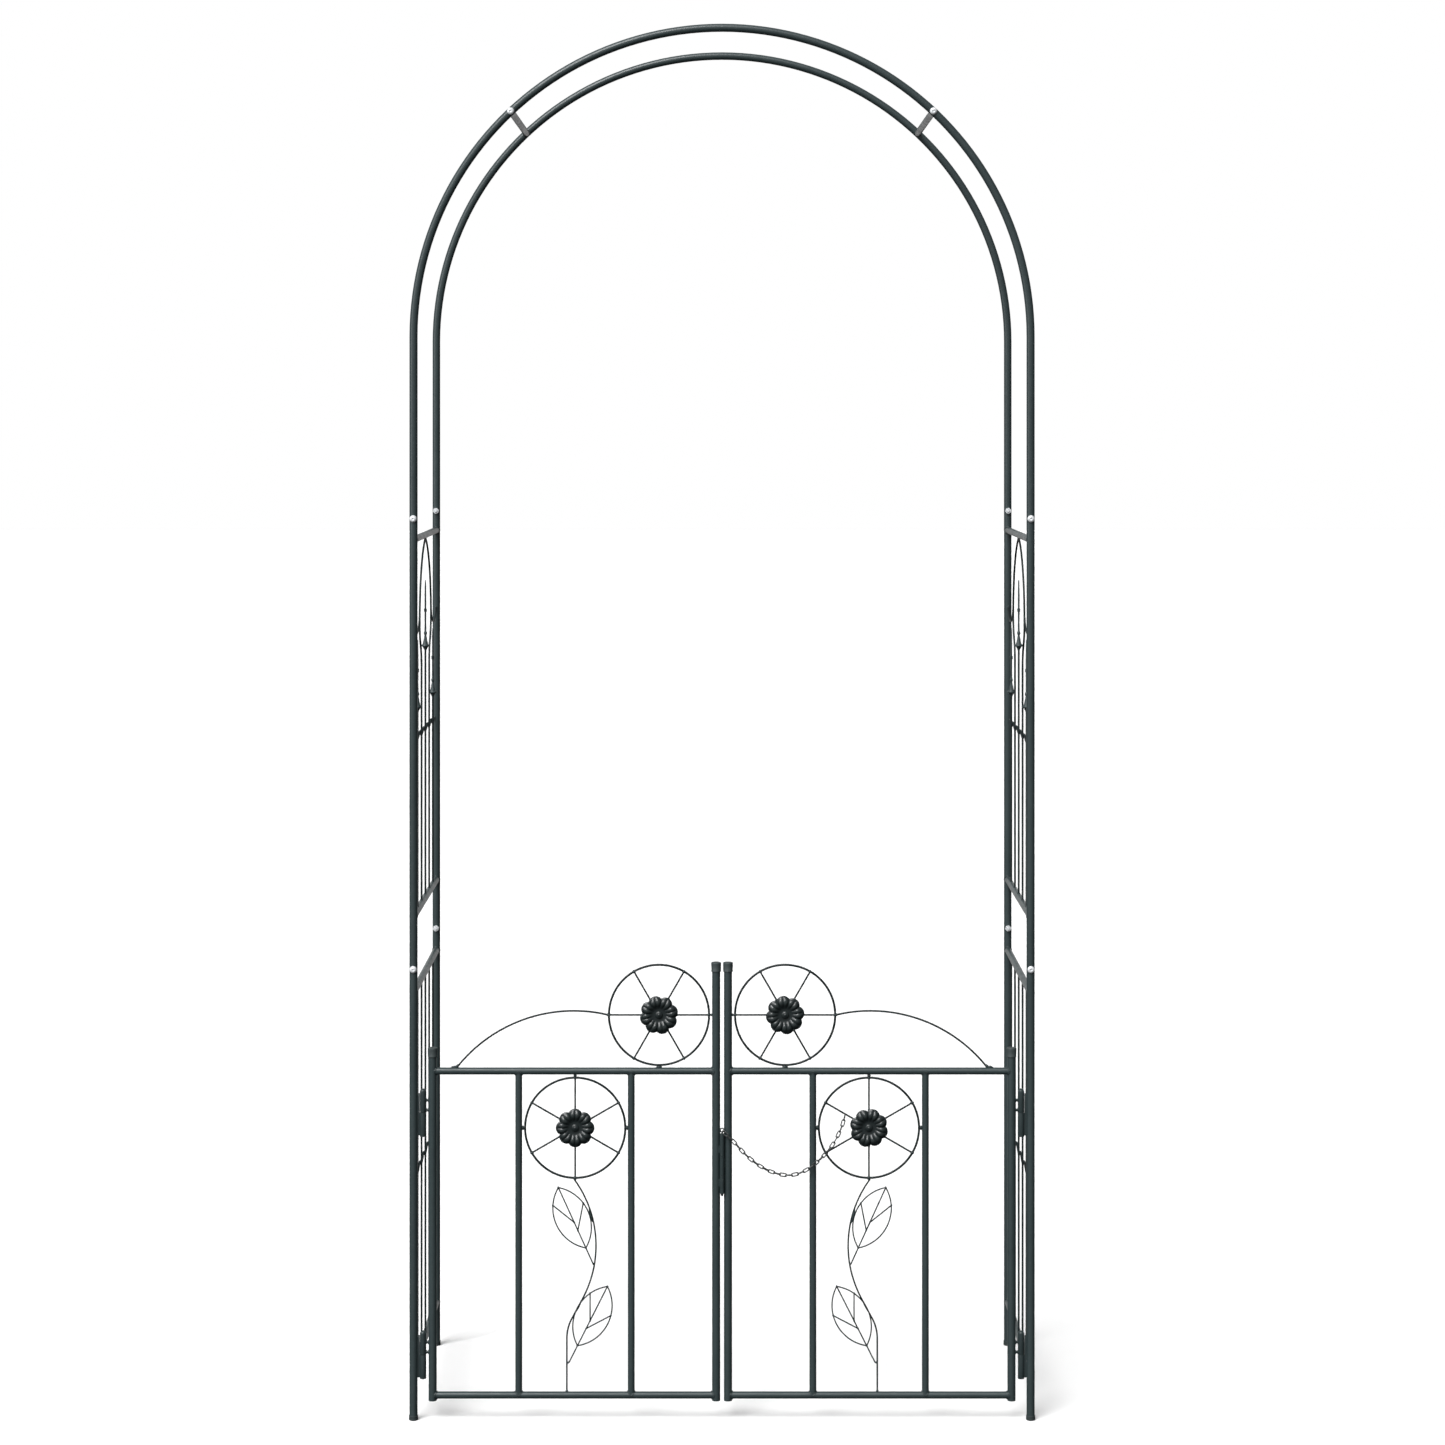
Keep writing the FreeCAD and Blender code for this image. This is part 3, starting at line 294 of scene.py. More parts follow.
# ---------------- finishes
class Finish:
    """A node material with object coordinates in metres."""

    def __init__(self, name):
        self.material = bpy.data.materials.new(name)
        self.material.use_nodes = True
        self.tree = self.material.node_tree
        self.shader = self.tree.nodes["Principled BSDF"]
        self.place = self.node("ShaderNodeTexCoord").outputs["Object"]

    def node(self, kind, **values):
        made = self.tree.nodes.new(kind)
        for name, value in values.items():
            if hasattr(made, name):
                setattr(made, name, value)
            else:
                made.inputs[name.replace("_", " ").title()].default_value = value
        return made

    def link(self, output, target):
        self.tree.links.new(output, target)

    def noise(self, scale, detail=3.0, roughness=0.55, distortion=0.0):
        made = self.node("ShaderNodeTexNoise", Scale=scale, Detail=detail, Roughness=roughness,
                         Distortion=distortion)
        self.link(self.place, made.inputs["Vector"])
        return made.outputs["Fac"]

    def cells(self, scale):
        made = self.node("ShaderNodeTexVoronoi", Scale=scale)
        self.link(self.place, made.inputs["Vector"])
        return made.outputs["Distance"]

    def remap(self, value, low, high, to_low=0.0, to_high=1.0):
        made = self.node("ShaderNodeMapRange")
        self.link(value, made.inputs["Value"])
        for name, number in (("From Min", low), ("From Max", high), ("To Min", to_low), ("To Max", to_high)):
            made.inputs[name].default_value = number
        return made.outputs["Result"]

    def times(self, first, second):
        made = self.node("ShaderNodeMath", operation="MULTIPLY")
        for target, value in zip(made.inputs, (first, second)):
            if isinstance(value, float):
                target.default_value = value
            else:
                self.link(value, target)
        return made.outputs["Value"]

    def blend(self, share, first, second):
        """One colour or another by share; a colour is three numbers or an output."""
        made = self.node("ShaderNodeMix", data_type="RGBA")
        self.link(share, made.inputs["Factor"])
        for name, colour in (("A", first), ("B", second)):
            target = next(i for i in made.inputs if i.name == name and i.type == "RGBA")
            if isinstance(colour, tuple):
                target.default_value = (*colour, 1)
            else:
                self.link(colour, target)
        return next(o for o in made.outputs if o.type == "RGBA")

    def facing_up(self):
        """1 on what faces the sky, 0 on what faces sideways or down."""
        split = self.node("ShaderNodeSeparateXYZ")
        self.link(self.node("ShaderNodeNewGeometry").outputs["Normal"], split.inputs["Vector"])
        return self.remap(split.outputs["Z"], 0.35, 1.0)

    def bump(self, layers):
        """Layers of (height output, depth in metres), the finest last."""
        normal = None
        for height, depth in layers:
            made = self.node("ShaderNodeBump", Strength=1.0, Distance=depth)
            self.link(height, made.inputs["Height"])
            if normal:
                self.link(normal, made.inputs["Normal"])
            normal = made.outputs["Normal"]
        self.link(normal, self.shader.inputs["Normal"])

    def colour(self, output):
        self.link(output, self.shader.inputs["Base Color"])

    def rough(self, output):
        self.link(output, self.shader.inputs["Roughness"])

    def set(self, name, value):
        self.shader.inputs[name].default_value = value


COAT_DARK = (0.018, 0.030, 0.032)
COAT_LIGHT = (0.027, 0.041, 0.043)
DUST = (0.14, 0.155, 0.145)
BARE_STEEL = (0.30, 0.30, 0.29)
# Painted highlight: the paler coat put on a pressing's raised parts in place of the light they catch
RIDGE_HIGHLIGHT_COAT = (0.075, 0.093, 0.09)


def powder_coat(name, tone=1.0, gloss=(0.34, 0.48), shine=0.5, wear=0.0, dust=0.12, peel=1.0, ridge_highlight=0.0):
    """Satin charcoal powder coat: orange peel, a cloudy tone, some dust on top and worn specks, and on a pressing
    a painted highlight on its raised parts.
    """
    finish = Finish(name)
    dark, light = (tuple(tone * part for part in colour) for colour in (COAT_DARK, COAT_LIGHT))
    cloud = finish.remap(finish.noise(9.0, 4.0, 0.6), 0.3, 0.7)
    colour = finish.blend(cloud, dark, light)
    speckle = finish.remap(finish.noise(1100.0, 3.0, 0.7), 0.42, 0.68)
    colour = finish.blend(finish.times(speckle, 0.5), colour, tuple(1.8 * part for part in light))
    pits = finish.remap(finish.cells(900.0), 0.05, 0.3, 1.0, 0.0)
    colour = finish.blend(finish.times(pits, 0.35), colour, tuple(0.5 * part for part in dark))
    patches = finish.remap(finish.noise(38.0, 5.0, 0.65, 0.4), 0.45, 0.75)
    film = finish.times(finish.times(finish.facing_up(), patches), dust)
    colour = finish.blend(film, colour, DUST)
    # Painted highlight: the raised parts of a pressing get a paler coat, as if lit
    if ridge_highlight:
        height = finish.node("ShaderNodeAttribute", attribute_name="highlight_relief").outputs["Fac"]
        colour = finish.blend(finish.remap(height, 0.55, 1.0, 0.0, ridge_highlight), colour, RIDGE_HIGHLIGHT_COAT)
    chips = finish.remap(finish.noise(260.0, 4.0, 0.7), 0.70 - 0.05 * wear, 0.73 - 0.05 * wear)
    colour = finish.blend(finish.times(chips, min(1.0, 0.25 + wear)), colour, BARE_STEEL)
    finish.colour(colour)
    finish.rough(finish.remap(finish.noise(55.0, 4.0, 0.6), 0.3, 0.7, *gloss))
    finish.set("Specular IOR Level", shine)
    finish.set("Coat Weight", 0.3 * shine)
    finish.set("Coat Roughness", 0.2)
    finish.bump([
        (finish.noise(120.0, 3.0, 0.5), 0.0002 * peel),
        (finish.noise(700.0, 2.0, 0.5), 0.00011 * peel),
    ])
    return finish.material


def zinc_plate(name):
    """Bright zinc: soft crystal patches, fine turning marks and a little white bloom."""
    finish = Finish(name)
    spangle = finish.remap(finish.cells(520.0), 0.0, 0.8)
    stain = finish.remap(finish.noise(300.0, 4.0, 0.6), 0.35, 0.75)
    colour = finish.blend(spangle, (0.80, 0.83, 0.86), (0.92, 0.94, 0.96))
    finish.colour(finish.blend(finish.times(stain, 0.35), colour, (0.66, 0.70, 0.73)))
    finish.rough(finish.remap(stain, 0.0, 1.0, 0.25, 0.42))
    finish.set("Metallic", 0.35)
    finish.bump([(finish.noise(2600.0, 2.0), 0.00002)])
    return finish.material


def moulded_plastic(name):
    """Matte black polyethylene with a fine spark-eroded grain, paler on its rubbed top."""
    finish = Finish(name)
    cloud = finish.remap(finish.noise(60.0, 4.0), 0.3, 0.7)
    tone = finish.blend(cloud, (0.026, 0.037, 0.039), (0.038, 0.05, 0.051))
    rubbed = finish.times(finish.facing_up(), finish.remap(finish.noise(420.0, 4.0, 0.7), 0.4, 0.8))
    finish.colour(finish.blend(finish.times(rubbed, 0.4), tone, (0.10, 0.115, 0.11)))
    finish.rough(finish.remap(finish.noise(500.0, 2.0), 0.3, 0.7, 0.52, 0.66))
    finish.bump([(finish.cells(2200.0), 0.00003), (finish.noise(90.0), 0.00008)])
    return finish.material


def chain_steel(name):
    """Blackened steel wire, brighter where the links have rubbed."""
    finish = Finish(name)
    dull = finish.remap(finish.noise(420.0, 5.0, 0.65), 0.38, 0.62)
    finish.colour(finish.blend(dull, (0.09, 0.095, 0.095), (0.018, 0.021, 0.021)))
    finish.rough(finish.remap(dull, 0.0, 1.0, 0.3, 0.5))
    finish.set("Metallic", 0.5)
    finish.bump([(finish.noise(1500.0, 3.0), 0.00003)])
    return finish.material


FINISHES = {
    "coated_tube": powder_coat("coated_tube"),
    "coated_wire": powder_coat("coated_wire", 0.4, (0.4, 0.55), 0.22, dust=0.06, peel=0.6),
    # The pressing's finish paints a highlight on its raised parts
    "coated_pressing": powder_coat("coated_pressing", 0.35, (0.27, 0.38), 0.4, dust=0.05, peel=0.5,
                                   ridge_highlight=0.12),
    "coated_casting": powder_coat("coated_casting", dust=0.15, peel=1.8),
    "coated_fittings": powder_coat("coated_fittings", 0.8, shine=0.4, wear=0.3, dust=0.08),
    "zinc_fastener": zinc_plate("zinc_fastener"),
    "cap_plastic": moulded_plastic("cap_plastic"),
    "chain_steel": chain_steel("chain_steel"),
}


def finish_cad_nodes():
    slots = {row["node"]: row["material_slot"] for row in frame["record"]["subparts"]}
    for name, node in NODES.items():
        node.data.materials.clear()
        node.data.materials.append(FINISHES[slots[name]])


# ---------------- latch chain
GATE_PLANE = -0.218            # of the leaves' rails and wheels
LATCH_PLANE = -0.2255          # of the drop pin's axis
# The route of part.py, as (across, how far in front of the gate, height) in millimetres, pulled
# straighter beyond the baluster, with one point more at each end to reach the pin's eye and the spoke.
CHAIN_ROUTE = [
    (1.6, 8.6, 497.5),
    (8.0, 12.2, 492.5), (22.0, 13.0, 479.0), (38.0, 13.0, 460.5), (56.0, 13.0, 445.0),
    (75.0, 13.0, 433.0), (95.0, 13.0, 425.5), (115.0, 13.0, 422.5), (134.0, 13.0, 426.5),
    (152.0, 12.8, 436.5), (168.0, 12.0, 450.0), (182.0, 10.5, 464.5), (194.0, 8.5, 480.5),
    (203.0, 6.5, 498.5), (208.7, 5.0, 513.0),
    (211.6, 2.8, 526.0),
]
CHAIN_WIDTH = 7.5 * MM
CHAIN_WIRE = 1.0 * MM
CHAIN_WELD = 1.2 * MM
LINK_PITCH = 10.3 * MM


def chain_line():
    """Points along the smooth line through the chain's route."""
    data = bpy.data.curves.new("chain_route", "CURVE")
    data.dimensions = "3D"
    data.resolution_u = 24
    spline = data.splines.new("NURBS")
    spline.points.add(len(CHAIN_ROUTE) - 1)
    for point, (across, front, height) in zip(spline.points, CHAIN_ROUTE):
        point.co = (across * MM, GATE_PLANE - front * MM, height * MM, 1)
    spline.order_u = 3
    spline.use_endpoint_u = True
    carrier = bpy.data.objects.new("chain_route", data)
    mesh = bpy.data.meshes.new_from_object(carrier)
    line = [vertex.co.copy() for vertex in mesh.vertices]
    bpy.data.objects.remove(carrier)
    bpy.data.curves.remove(data)
    bpy.data.meshes.remove(mesh)
    return line


def resample(line, pitch):
    """Points at equal distances along the line, about a pitch apart, and the line's length."""
    lengths = [0.0]
    for before, after in zip(line, line[1:]):
        lengths.append(lengths[-1] + (after - before).length)
    count = round(lengths[-1] / pitch)
    points, index = [], 0
    for number in range(count + 1):
        target = lengths[-1] * number / count
        while index < len(line) - 2 and lengths[index + 1] < target:
            index += 1
        step = lengths[index + 1] - lengths[index]
        points.append(line[index].lerp(line[index + 1], (target - lengths[index]) / step))
    return points, lengths[-1]


def link_path(centre, along, across, half_length, bend, steps=7):
    """The centreline of an oval link: two half rings joined by straight sides."""
    straight = half_length - bend
    path = []
    for end in (1, -1):
        for number in range(steps + 1):
            angle = math.pi * number / steps - math.pi / 2
            path.append(centre + along * end * (straight + bend * math.cos(angle))
                        + across * end * bend * math.sin(angle))
    return path


def make_chain():
    line = chain_line()
    joints, length = resample(line, LINK_PITCH)
    bend = CHAIN_WIDTH / 2 - CHAIN_WELD
    half_length = length / (len(joints) - 1) / 2 + CHAIN_WIRE
    mesh = Mesh()
    for number, (start, end) in enumerate(zip(joints, joints[1:])):
        along = (end - start).normalized()
        flat = along.cross(BACK).normalized()
        tilt = math.radians(18 * noise.noise(Vector((number * 0.7, 0.3, 0.1))) + 90 * (number % 2))
        across = Matrix.Rotation(tilt, 3, along) @ flat
        centre = (start + end) / 2
        path = link_path(centre, along, across, half_length, bend)
        sweep(mesh, path, CHAIN_WIRE, 10, closed=True, up=along.cross(across))
        weld_blob(mesh, centre + across * bend, CHAIN_WELD, along, 1.3)
    chain = mesh.make("chain", None, "chain_steel", ["latch_chain"])
    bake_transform(chain)


# ---------------- rosettes
# Sizes are in millimetres
PETALS = 8
PETAL_OFFSET = 20.5            # from the centre to a petal's own centre
PETAL_RADIUS = 12.5
SHEET = 1.1
BOSS_RADIUS = 7.3
BOSS_RINGS = [0.6, 1.3, 2.0, 2.6, 3.4, 4.4, 5.4, 6.2, 6.8, 7.2, 7.7, 8.4]
REAR_RINGS = [7.2, 5.4, 3.4, 1.3]
PETAL_STEPS = 26               # rings from the boss to the edge
ROSETTE_SPOKES = 192
# How far each rosette is turned, in degrees
ROSETTE_TURNS = {("left", "lower"): 0, ("left", "upper"): 15, ("right", "upper"): 8, ("right", "lower"): 28}


def petal_edge(angle):
    """The rosette's outline, in millimetres: eight round petals around the centre."""
    half = math.pi / PETALS
    turn = (angle + half) % (2 * half) - half
    drift = PETAL_OFFSET * math.sin(turn)
    return PETAL_OFFSET * math.cos(turn) + math.sqrt(PETAL_RADIUS ** 2 - drift ** 2)


def smooth(low, high, value):
    share = min(max((value - low) / (high - low), 0.0), 1.0)
    return share * share * (3 - 2 * share)


def crown(radius, full):
    """The height of a half circle, from 1 in the middle to 0 at its full radius."""
    return math.sqrt(max(0.0, 1 - (radius / full) ** 2))


def rosette_height(radius, angle, edge):
    """The pressing's front face above its back plane, in millimetres."""
    dish = 0.9 + 4.7 * smooth(9.0, 22.0, radius)
    curl = 4.4 * smooth(22.0, edge + 1.2, radius) ** 1.15
    ribs = abs(math.sin(PETALS * angle)) ** 0.75
    valley = abs(math.cos(PETALS * angle / 2)) ** 0.35
    depth = smooth(10.5, 19.0, radius) * (1 - smooth(edge - 4.5, edge - 1.0, radius))
    flute = 1.9 * depth * (ribs - 0.6)
    between = 1.7 * smooth(11.0, 24.0, radius) * (1 - valley)
    boss = 3.9 * crown(radius, BOSS_RADIUS) * smooth(BOSS_RADIUS + 0.05, 6.4, radius)
    nub = 0.6 * crown(radius, 2.6)
    petal = dish - curl + flute - between
    return max(petal, 0.7, boss + nub if radius < BOSS_RADIUS else 0.0)


def make_rosette(name, body, centre, turn, node):
    """A pressed flower: hollow at the back, ribbed petals and a riveted boss on the front."""
    back = centre.copy()
    back.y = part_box(node)[1].y
    inner = BOSS_RINGS[-1]

    def row(radius_of, height_of, inset=0.0):
        points = []
        for number in range(ROSETTE_SPOKES):
            angle = 2 * math.pi * number / ROSETTE_SPOKES
            edge = petal_edge(angle) - inset
            radius = radius_of(edge)
            height = height_of(radius, angle, edge)
            spread = angle + turn
            points.append(back + (RIGHT * math.cos(spread) + UP * math.sin(spread)) * radius * MM
                          + FRONT * height * MM)
        return points

    def at(radius):
        return lambda edge: radius

    def out(number):
        return lambda edge: inner + (edge - inner) * number / PETAL_STEPS

    front = [row(at(radius), rosette_height) for radius in BOSS_RINGS]
    front += [row(out(number), rosette_height) for number in range(1, PETAL_STEPS + 1)]
    lip = [row(lambda edge: edge + 0.25, lambda radius, angle, edge: 0.45)]

    def hollow(radius, angle, edge):
        return max(rosette_height(radius, angle, petal_edge(angle)) - SHEET, 0.0)

    rear = [row(out(number), hollow, inset=0.9) for number in range(PETAL_STEPS, 0, -2)]
    rear += [row(at(radius), hollow) for radius in REAR_RINGS]
    mesh = Mesh()
    mesh.grid(front + lip + rear)
    piece = mesh.make(name, body, "coated_pressing", [node], sharp=60)
    # Each point's height over the back, kept for the painted highlight on the pressing's raised parts; the boss
    # gets none
    values = []
    for vertex in piece.data.vertices:
        height = (back.y - vertex.co.y) / MM
        reach = math.hypot(vertex.co.x - centre.x, vertex.co.z - centre.z)
        values.append(min(height / 6.0, 1.0) if reach > BOSS_RADIUS * MM else 0.0)
    highlight_relief = piece.data.attributes.new("highlight_relief", "FLOAT", "POINT")
    highlight_relief.data.foreach_set("value", values)


def on_gate(across, height):
    """A point in the plane of the leaves."""
    return Vector((across, GATE_PLANE, height))


def wheel_centres(side):
    """The centres of a leaf's lower and upper wheel, which are its rosettes'."""
    lower, upper = (middle(box) for box in by_height(solids(f"{side}_rosettes")))
    return {"lower": on_gate(lower.x, lower.z), "upper": on_gate(upper.x, upper.z)}


def make_rosettes():
    for side in SIDES:
        for level, centre in wheel_centres(side).items():
            turn = math.radians(ROSETTE_TURNS[side, level])
            make_rosette(f"{side}_{level}_rosette", f"{side}_gate", centre, turn, f"{side}_rosettes")


# ---------------- caps
STILE_CAP = 8.5 * MM
FOOT_CAP = 8.0 * MM
CAP_GAP = 0.05 * MM
CAP_FLOOR = 3 * MM
CAP_EDGE = 1.6 * MM


def cap_profile(radius, height):
    """A push-on cap, from its open rim up over its rounded top; heights count from the rim."""
    bore = POST + CAP_GAP
    profile = [(bore, height - CAP_FLOOR), (bore, 0.4 * MM), (bore + 0.3 * MM, 0), (radius - 0.35 * MM, 0),
               (radius - 0.1 * MM, 0.3 * MM), (radius - 0.1 * MM, 1.6 * MM), (radius - 0.35 * MM, 2.0 * MM),
               (radius - 0.02 * MM, height * 0.7)]
    for number in range(6):
        angle = math.radians(90 * number / 5)
        profile.append((radius - CAP_EDGE + CAP_EDGE * math.cos(angle),
                        height - CAP_EDGE + CAP_EDGE * math.sin(angle)))
    profile += [(radius * 0.55, height - 0.02 * MM), (1.3 * MM, height - 0.25 * MM),
                (0.9 * MM, height - 0.6 * MM)]
    return profile


def make_caps():
    for side in SIDES:
        mesh = Mesh()
        for low, high in solids(f"{side}_stile_caps"):
            lathe(mesh, cap_profile(STILE_CAP, high.z - low.z), centred(low, high, low.z), UP, 40)
        mesh.make(f"{side}_caps", f"{side}_gate", "cap_plastic", [f"{side}_stile_caps"])
    mesh = Mesh()
    for low, high in solids("foot_caps"):
        lathe(mesh, cap_profile(FOOT_CAP, high.z - low.z), centred(low, high, high.z), -UP, 40)
    mesh.make("feet", "arch_frame", "cap_plastic", ["foot_caps"])


# ---------------- bolts and nuts
BOLT = 2.9 * MM
HEAD_HEIGHT = 3.6 * MM
SOCKET = 2.0 * MM
THREAD_PITCH = 1.0 * MM
THREAD_LENGTH = 12 * MM


def hexagon(apothem):
    def radius(angle):
        return apothem / math.cos((angle + math.pi / 6) % (math.pi / 3) - math.pi / 6)
    return radius


def clipped_hexagon(apothem, limit):
    outline = hexagon(apothem)
    return lambda angle: min(outline(angle), limit)


def make_bolt(mesh, low, high, outward):
    """A round-headed bolt with a hexagon socket; low and high are its box, outward its head's way."""
    centre = (low + high) / 2
    tip_y = high.y if outward.y < 0 else low.y
    head_y = low.y if outward.y < 0 else high.y
    radius = (high.x - low.x) / 2
    seat = Vector((centre.x, head_y, centre.z)) - outward * HEAD_HEIGHT
    socket = hexagon(SOCKET)
    shank = abs(tip_y - seat.y)
    profile = [(0.8 * MM, -shank), (BOLT * 0.8, -shank + 0.1 * MM)]
    for number in range(int(min(shank, THREAD_LENGTH) / THREAD_PITCH)):
        start = -shank + 0.5 * MM + number * THREAD_PITCH
        profile += [(BOLT * 0.87, start), (BOLT, start + 0.35 * THREAD_PITCH),
                    (BOLT, start + 0.6 * THREAD_PITCH)]
    profile += [(BOLT, -0.4 * MM), (BOLT, 0.0), (radius * 0.97, 0.0), (radius, 0.35 * MM)]
    for number in range(1, 8):
        angle = math.radians(78 * number / 7)
        profile.append((radius * math.cos(angle) * 0.72 + radius * 0.28,
                        HEAD_HEIGHT * math.sin(angle) / 0.978))
    top = HEAD_HEIGHT * 0.99
    profile += [(2.75 * MM, top), (socket, top - 0.1 * MM), (socket, top - 0.9 * MM),
                (1.0 * MM, top - 1.2 * MM)]
    lathe(mesh, profile, seat, outward, 48)


def make_nut(mesh, low, high, outward):
    """A hexagon nut chamfered on both faces; outward is the face that shows."""
    centre = (low + high) / 2
    foot = centre - outward * (high.y - low.y) / 2
    height = high.y - low.y
    apothem = min(high.x - low.x, high.z - low.z) / 2
    corner = apothem * 1.06
    profile = [(BOLT + 0.1 * MM, 0.3 * MM), (3.3 * MM, 0), (clipped_hexagon(apothem, corner * 0.96), 0),
               (hexagon(apothem), 0.5 * MM), (hexagon(apothem), height - 0.8 * MM),
               (clipped_hexagon(apothem, corner), height - 0.35 * MM),
               (clipped_hexagon(apothem, corner * 0.93), height), (3.4 * MM, height),
               (BOLT + 0.1 * MM, height - 0.5 * MM)]
    lathe_hollow(mesh, profile, foot, outward, 48)


def outward_of(low, high):
    """The way out of the arch, front or rear, for a piece of that box."""
    return FRONT if (low.y + high.y) < 0 else BACK


def make_fasteners():
    for node in ("joint_bolts", "crown_bolts"):
        mesh = Mesh()
        for low, high in solids(node):
            make_bolt(mesh, low, high, outward_of(low, high))
        mesh.make(f"{node}_threaded", "arch_frame", "zinc_fastener", [node], sharp=35)
    mesh = Mesh()
    for low, high in solids("joint_nuts"):
        make_nut(mesh, low, high, -outward_of(low, high))
    mesh.make("joint_nuts_chamfered", "arch_frame", "zinc_fastener", ["joint_nuts"], sharp=30)


# ---------------- spear finials
# Turned parts of a spear, as (radius, height) in millimetres: its foot, and the collar on its blade
SPEAR_FOOT = [
    (1.8, 0), (2.6, 2.2), (3.9, 4.6), (5.0, 6.8), (7.2, 7.3), (7.7, 8.0), (7.8, 9.0), (7.6, 10.0),
    (7.0, 10.7), (5.2, 11.1), (4.6, 13), (3.7, 17), (2.7, 22), (2.0, 26), (1.8, 27.5), (2.4, 28.4),
    (2.95, 30), (3.0, 31.2), (2.8, 32.6), (2.1, 34), (1.75, 35.5), (1.7, 40), (1.6, 48),
]
SPEAR_COLLAR = [
    (2.0, -2.9), (2.75, -2.2), (2.9, -1.2), (2.5, -0.4), (2.5, 0.4), (2.9, 1.2), (2.75, 2.2), (2.0, 2.9),
]
BLADE_FOOT = 36 * MM
BLADE_STEPS = 22


def make_finials():
    """Cast spears: a double cone with a collar, a bead, and a leaf-shaped blade with a midrib."""
    mesh = Mesh()
    for low, high in solids("panel_finials"):
        foot = centred(low, high, low.z)
        height = high.z - low.z
        lathe(mesh, scaled(SPEAR_FOOT), foot, UP, 28)
        rows = []
        for number in range(BLADE_STEPS + 1):
            share = number / BLADE_STEPS
            level = foot + UP * (BLADE_FOOT + (height - BLADE_FOOT) * share)
            swell = math.sin(math.pi * share ** 0.8) ** 0.75
            width = (0.9 + 4.6 * swell) * MM
            thick = (0.75 + 0.95 * swell ** 0.5) * MM
            row = []
            for corner in range(16):
                angle = 2 * math.pi * corner / 16
                ridge = thick * (0.35 + 0.65 * abs(math.sin(angle)) ** 1.6)
                row.append(level + BACK * width * math.cos(angle)
                           + RIGHT * ridge * math.copysign(abs(math.sin(angle)) ** 0.8, math.sin(angle)))
            rows.append(row)
        mesh.grid(rows)
        collar = foot + UP * (BLADE_FOOT + (height - BLADE_FOOT) * 0.4)
        lathe(mesh, scaled(SPEAR_COLLAR), collar, UP, 20)
    mesh.make("finials", "arch_frame", "coated_casting", ["panel_finials"], sharp=50)


# ---------------- hinges
KNUCKLE = 5.5 * MM
HINGE_BORE = 3.05 * MM
BORE_DEPTH = 28 * MM
LINK = 2.2 * MM
LINK_DROPS = (20 * MM, 37 * MM)    # of a knuckle's two links below its top
HINGE_TO_STILE = 16.5 * MM
HINGE_TO_POST = 16.4 * MM


def knuckle_profile(bottom, top, on_leaf):
    """A barrel with softened edges.  The leaf's is bored from below and has a domed top."""
    soft = 0.6 * MM
    if on_leaf:
        profile = [(HINGE_BORE, bottom + BORE_DEPTH), (HINGE_BORE, bottom)]
    else:
        profile = [(KNUCKLE * 0.3, bottom)]
    profile += [(KNUCKLE - soft, bottom), (KNUCKLE - 0.2 * soft, bottom + 0.25 * soft),
                (KNUCKLE, bottom + soft)]
    if on_leaf:
        for number in range(9):
            angle = math.radians(88 * number / 8)
            profile.append((KNUCKLE * math.cos(angle), top - KNUCKLE + KNUCKLE * math.sin(angle)))
    else:
        profile += [(KNUCKLE, top - soft), (KNUCKLE - 0.2 * soft, top - 0.25 * soft), (KNUCKLE - soft, top),
                    (KNUCKLE * 0.3, top)]
    return profile


def hinge_axis(side):
    """The hinge axis of a leaf, from its joint."""
    joint = next(j for j in frame["joints"] if j["child"] == f"{side}_gate")
    return Vector((joint["pos_m"][0], joint["pos_m"][1], 0))


def make_hinges():
    hooks = Mesh()
    for side, sign in SIDES.items():
        axis = hinge_axis(side)
        inner = -sign
        stile = axis + RIGHT * inner * HINGE_TO_STILE
        leaf = Mesh()
        knuckles = by_height(solids(f"{side}_hinge_knuckles"))
        for (low, high), (hook_low, hook_high) in zip(knuckles, by_height(on_side("hinge_hooks", sign))):
            lathe(leaf, knuckle_profile(low.z, high.z, on_leaf=True), axis, UP, 36)
            for drop in LINK_DROPS:
                height = UP * (high.z - drop)
                path = [axis + height + RIGHT * inner * (4.6 + 0.7 * step) * MM for step in range(8)]
                radii = [LINK * (1 + 0.25 * abs(step - 3.5) / 3.5 + 0.05 * math.sin(step * 2))
                         for step in range(8)]
                sweep(leaf, path, radii, 16)
                weld_ring(leaf, stile + height, RIGHT * -inner, BACK, 2.4 * MM, POST, 1.0 * MM)
                weld_ring(leaf, axis + height, RIGHT * inner, BACK, 2.4 * MM, KNUCKLE, 0.8 * MM)
            top = low.z - 0.5 * MM
            lathe(hooks, knuckle_profile(hook_low.z, top, on_leaf=False), axis, UP, 36)
            lathe(hooks, [(3.0 * MM, top - 1 * MM), (3.0 * MM, low.z + 26 * MM), (2.4 * MM, low.z + 27 * MM),
                          (1.0 * MM, low.z + 27.4 * MM)], axis, UP, 28)
            make_hook_plate(hooks, axis, sign, hook_low.z, hook_high.z, top)
        leaf.make(f"{side}_knuckles", f"{side}_gate", "coated_fittings", [f"{side}_hinge_knuckles"], sharp=38)
    hooks.make("hooks", "arch_frame", "coated_fittings", ["hinge_hooks"], sharp=38)


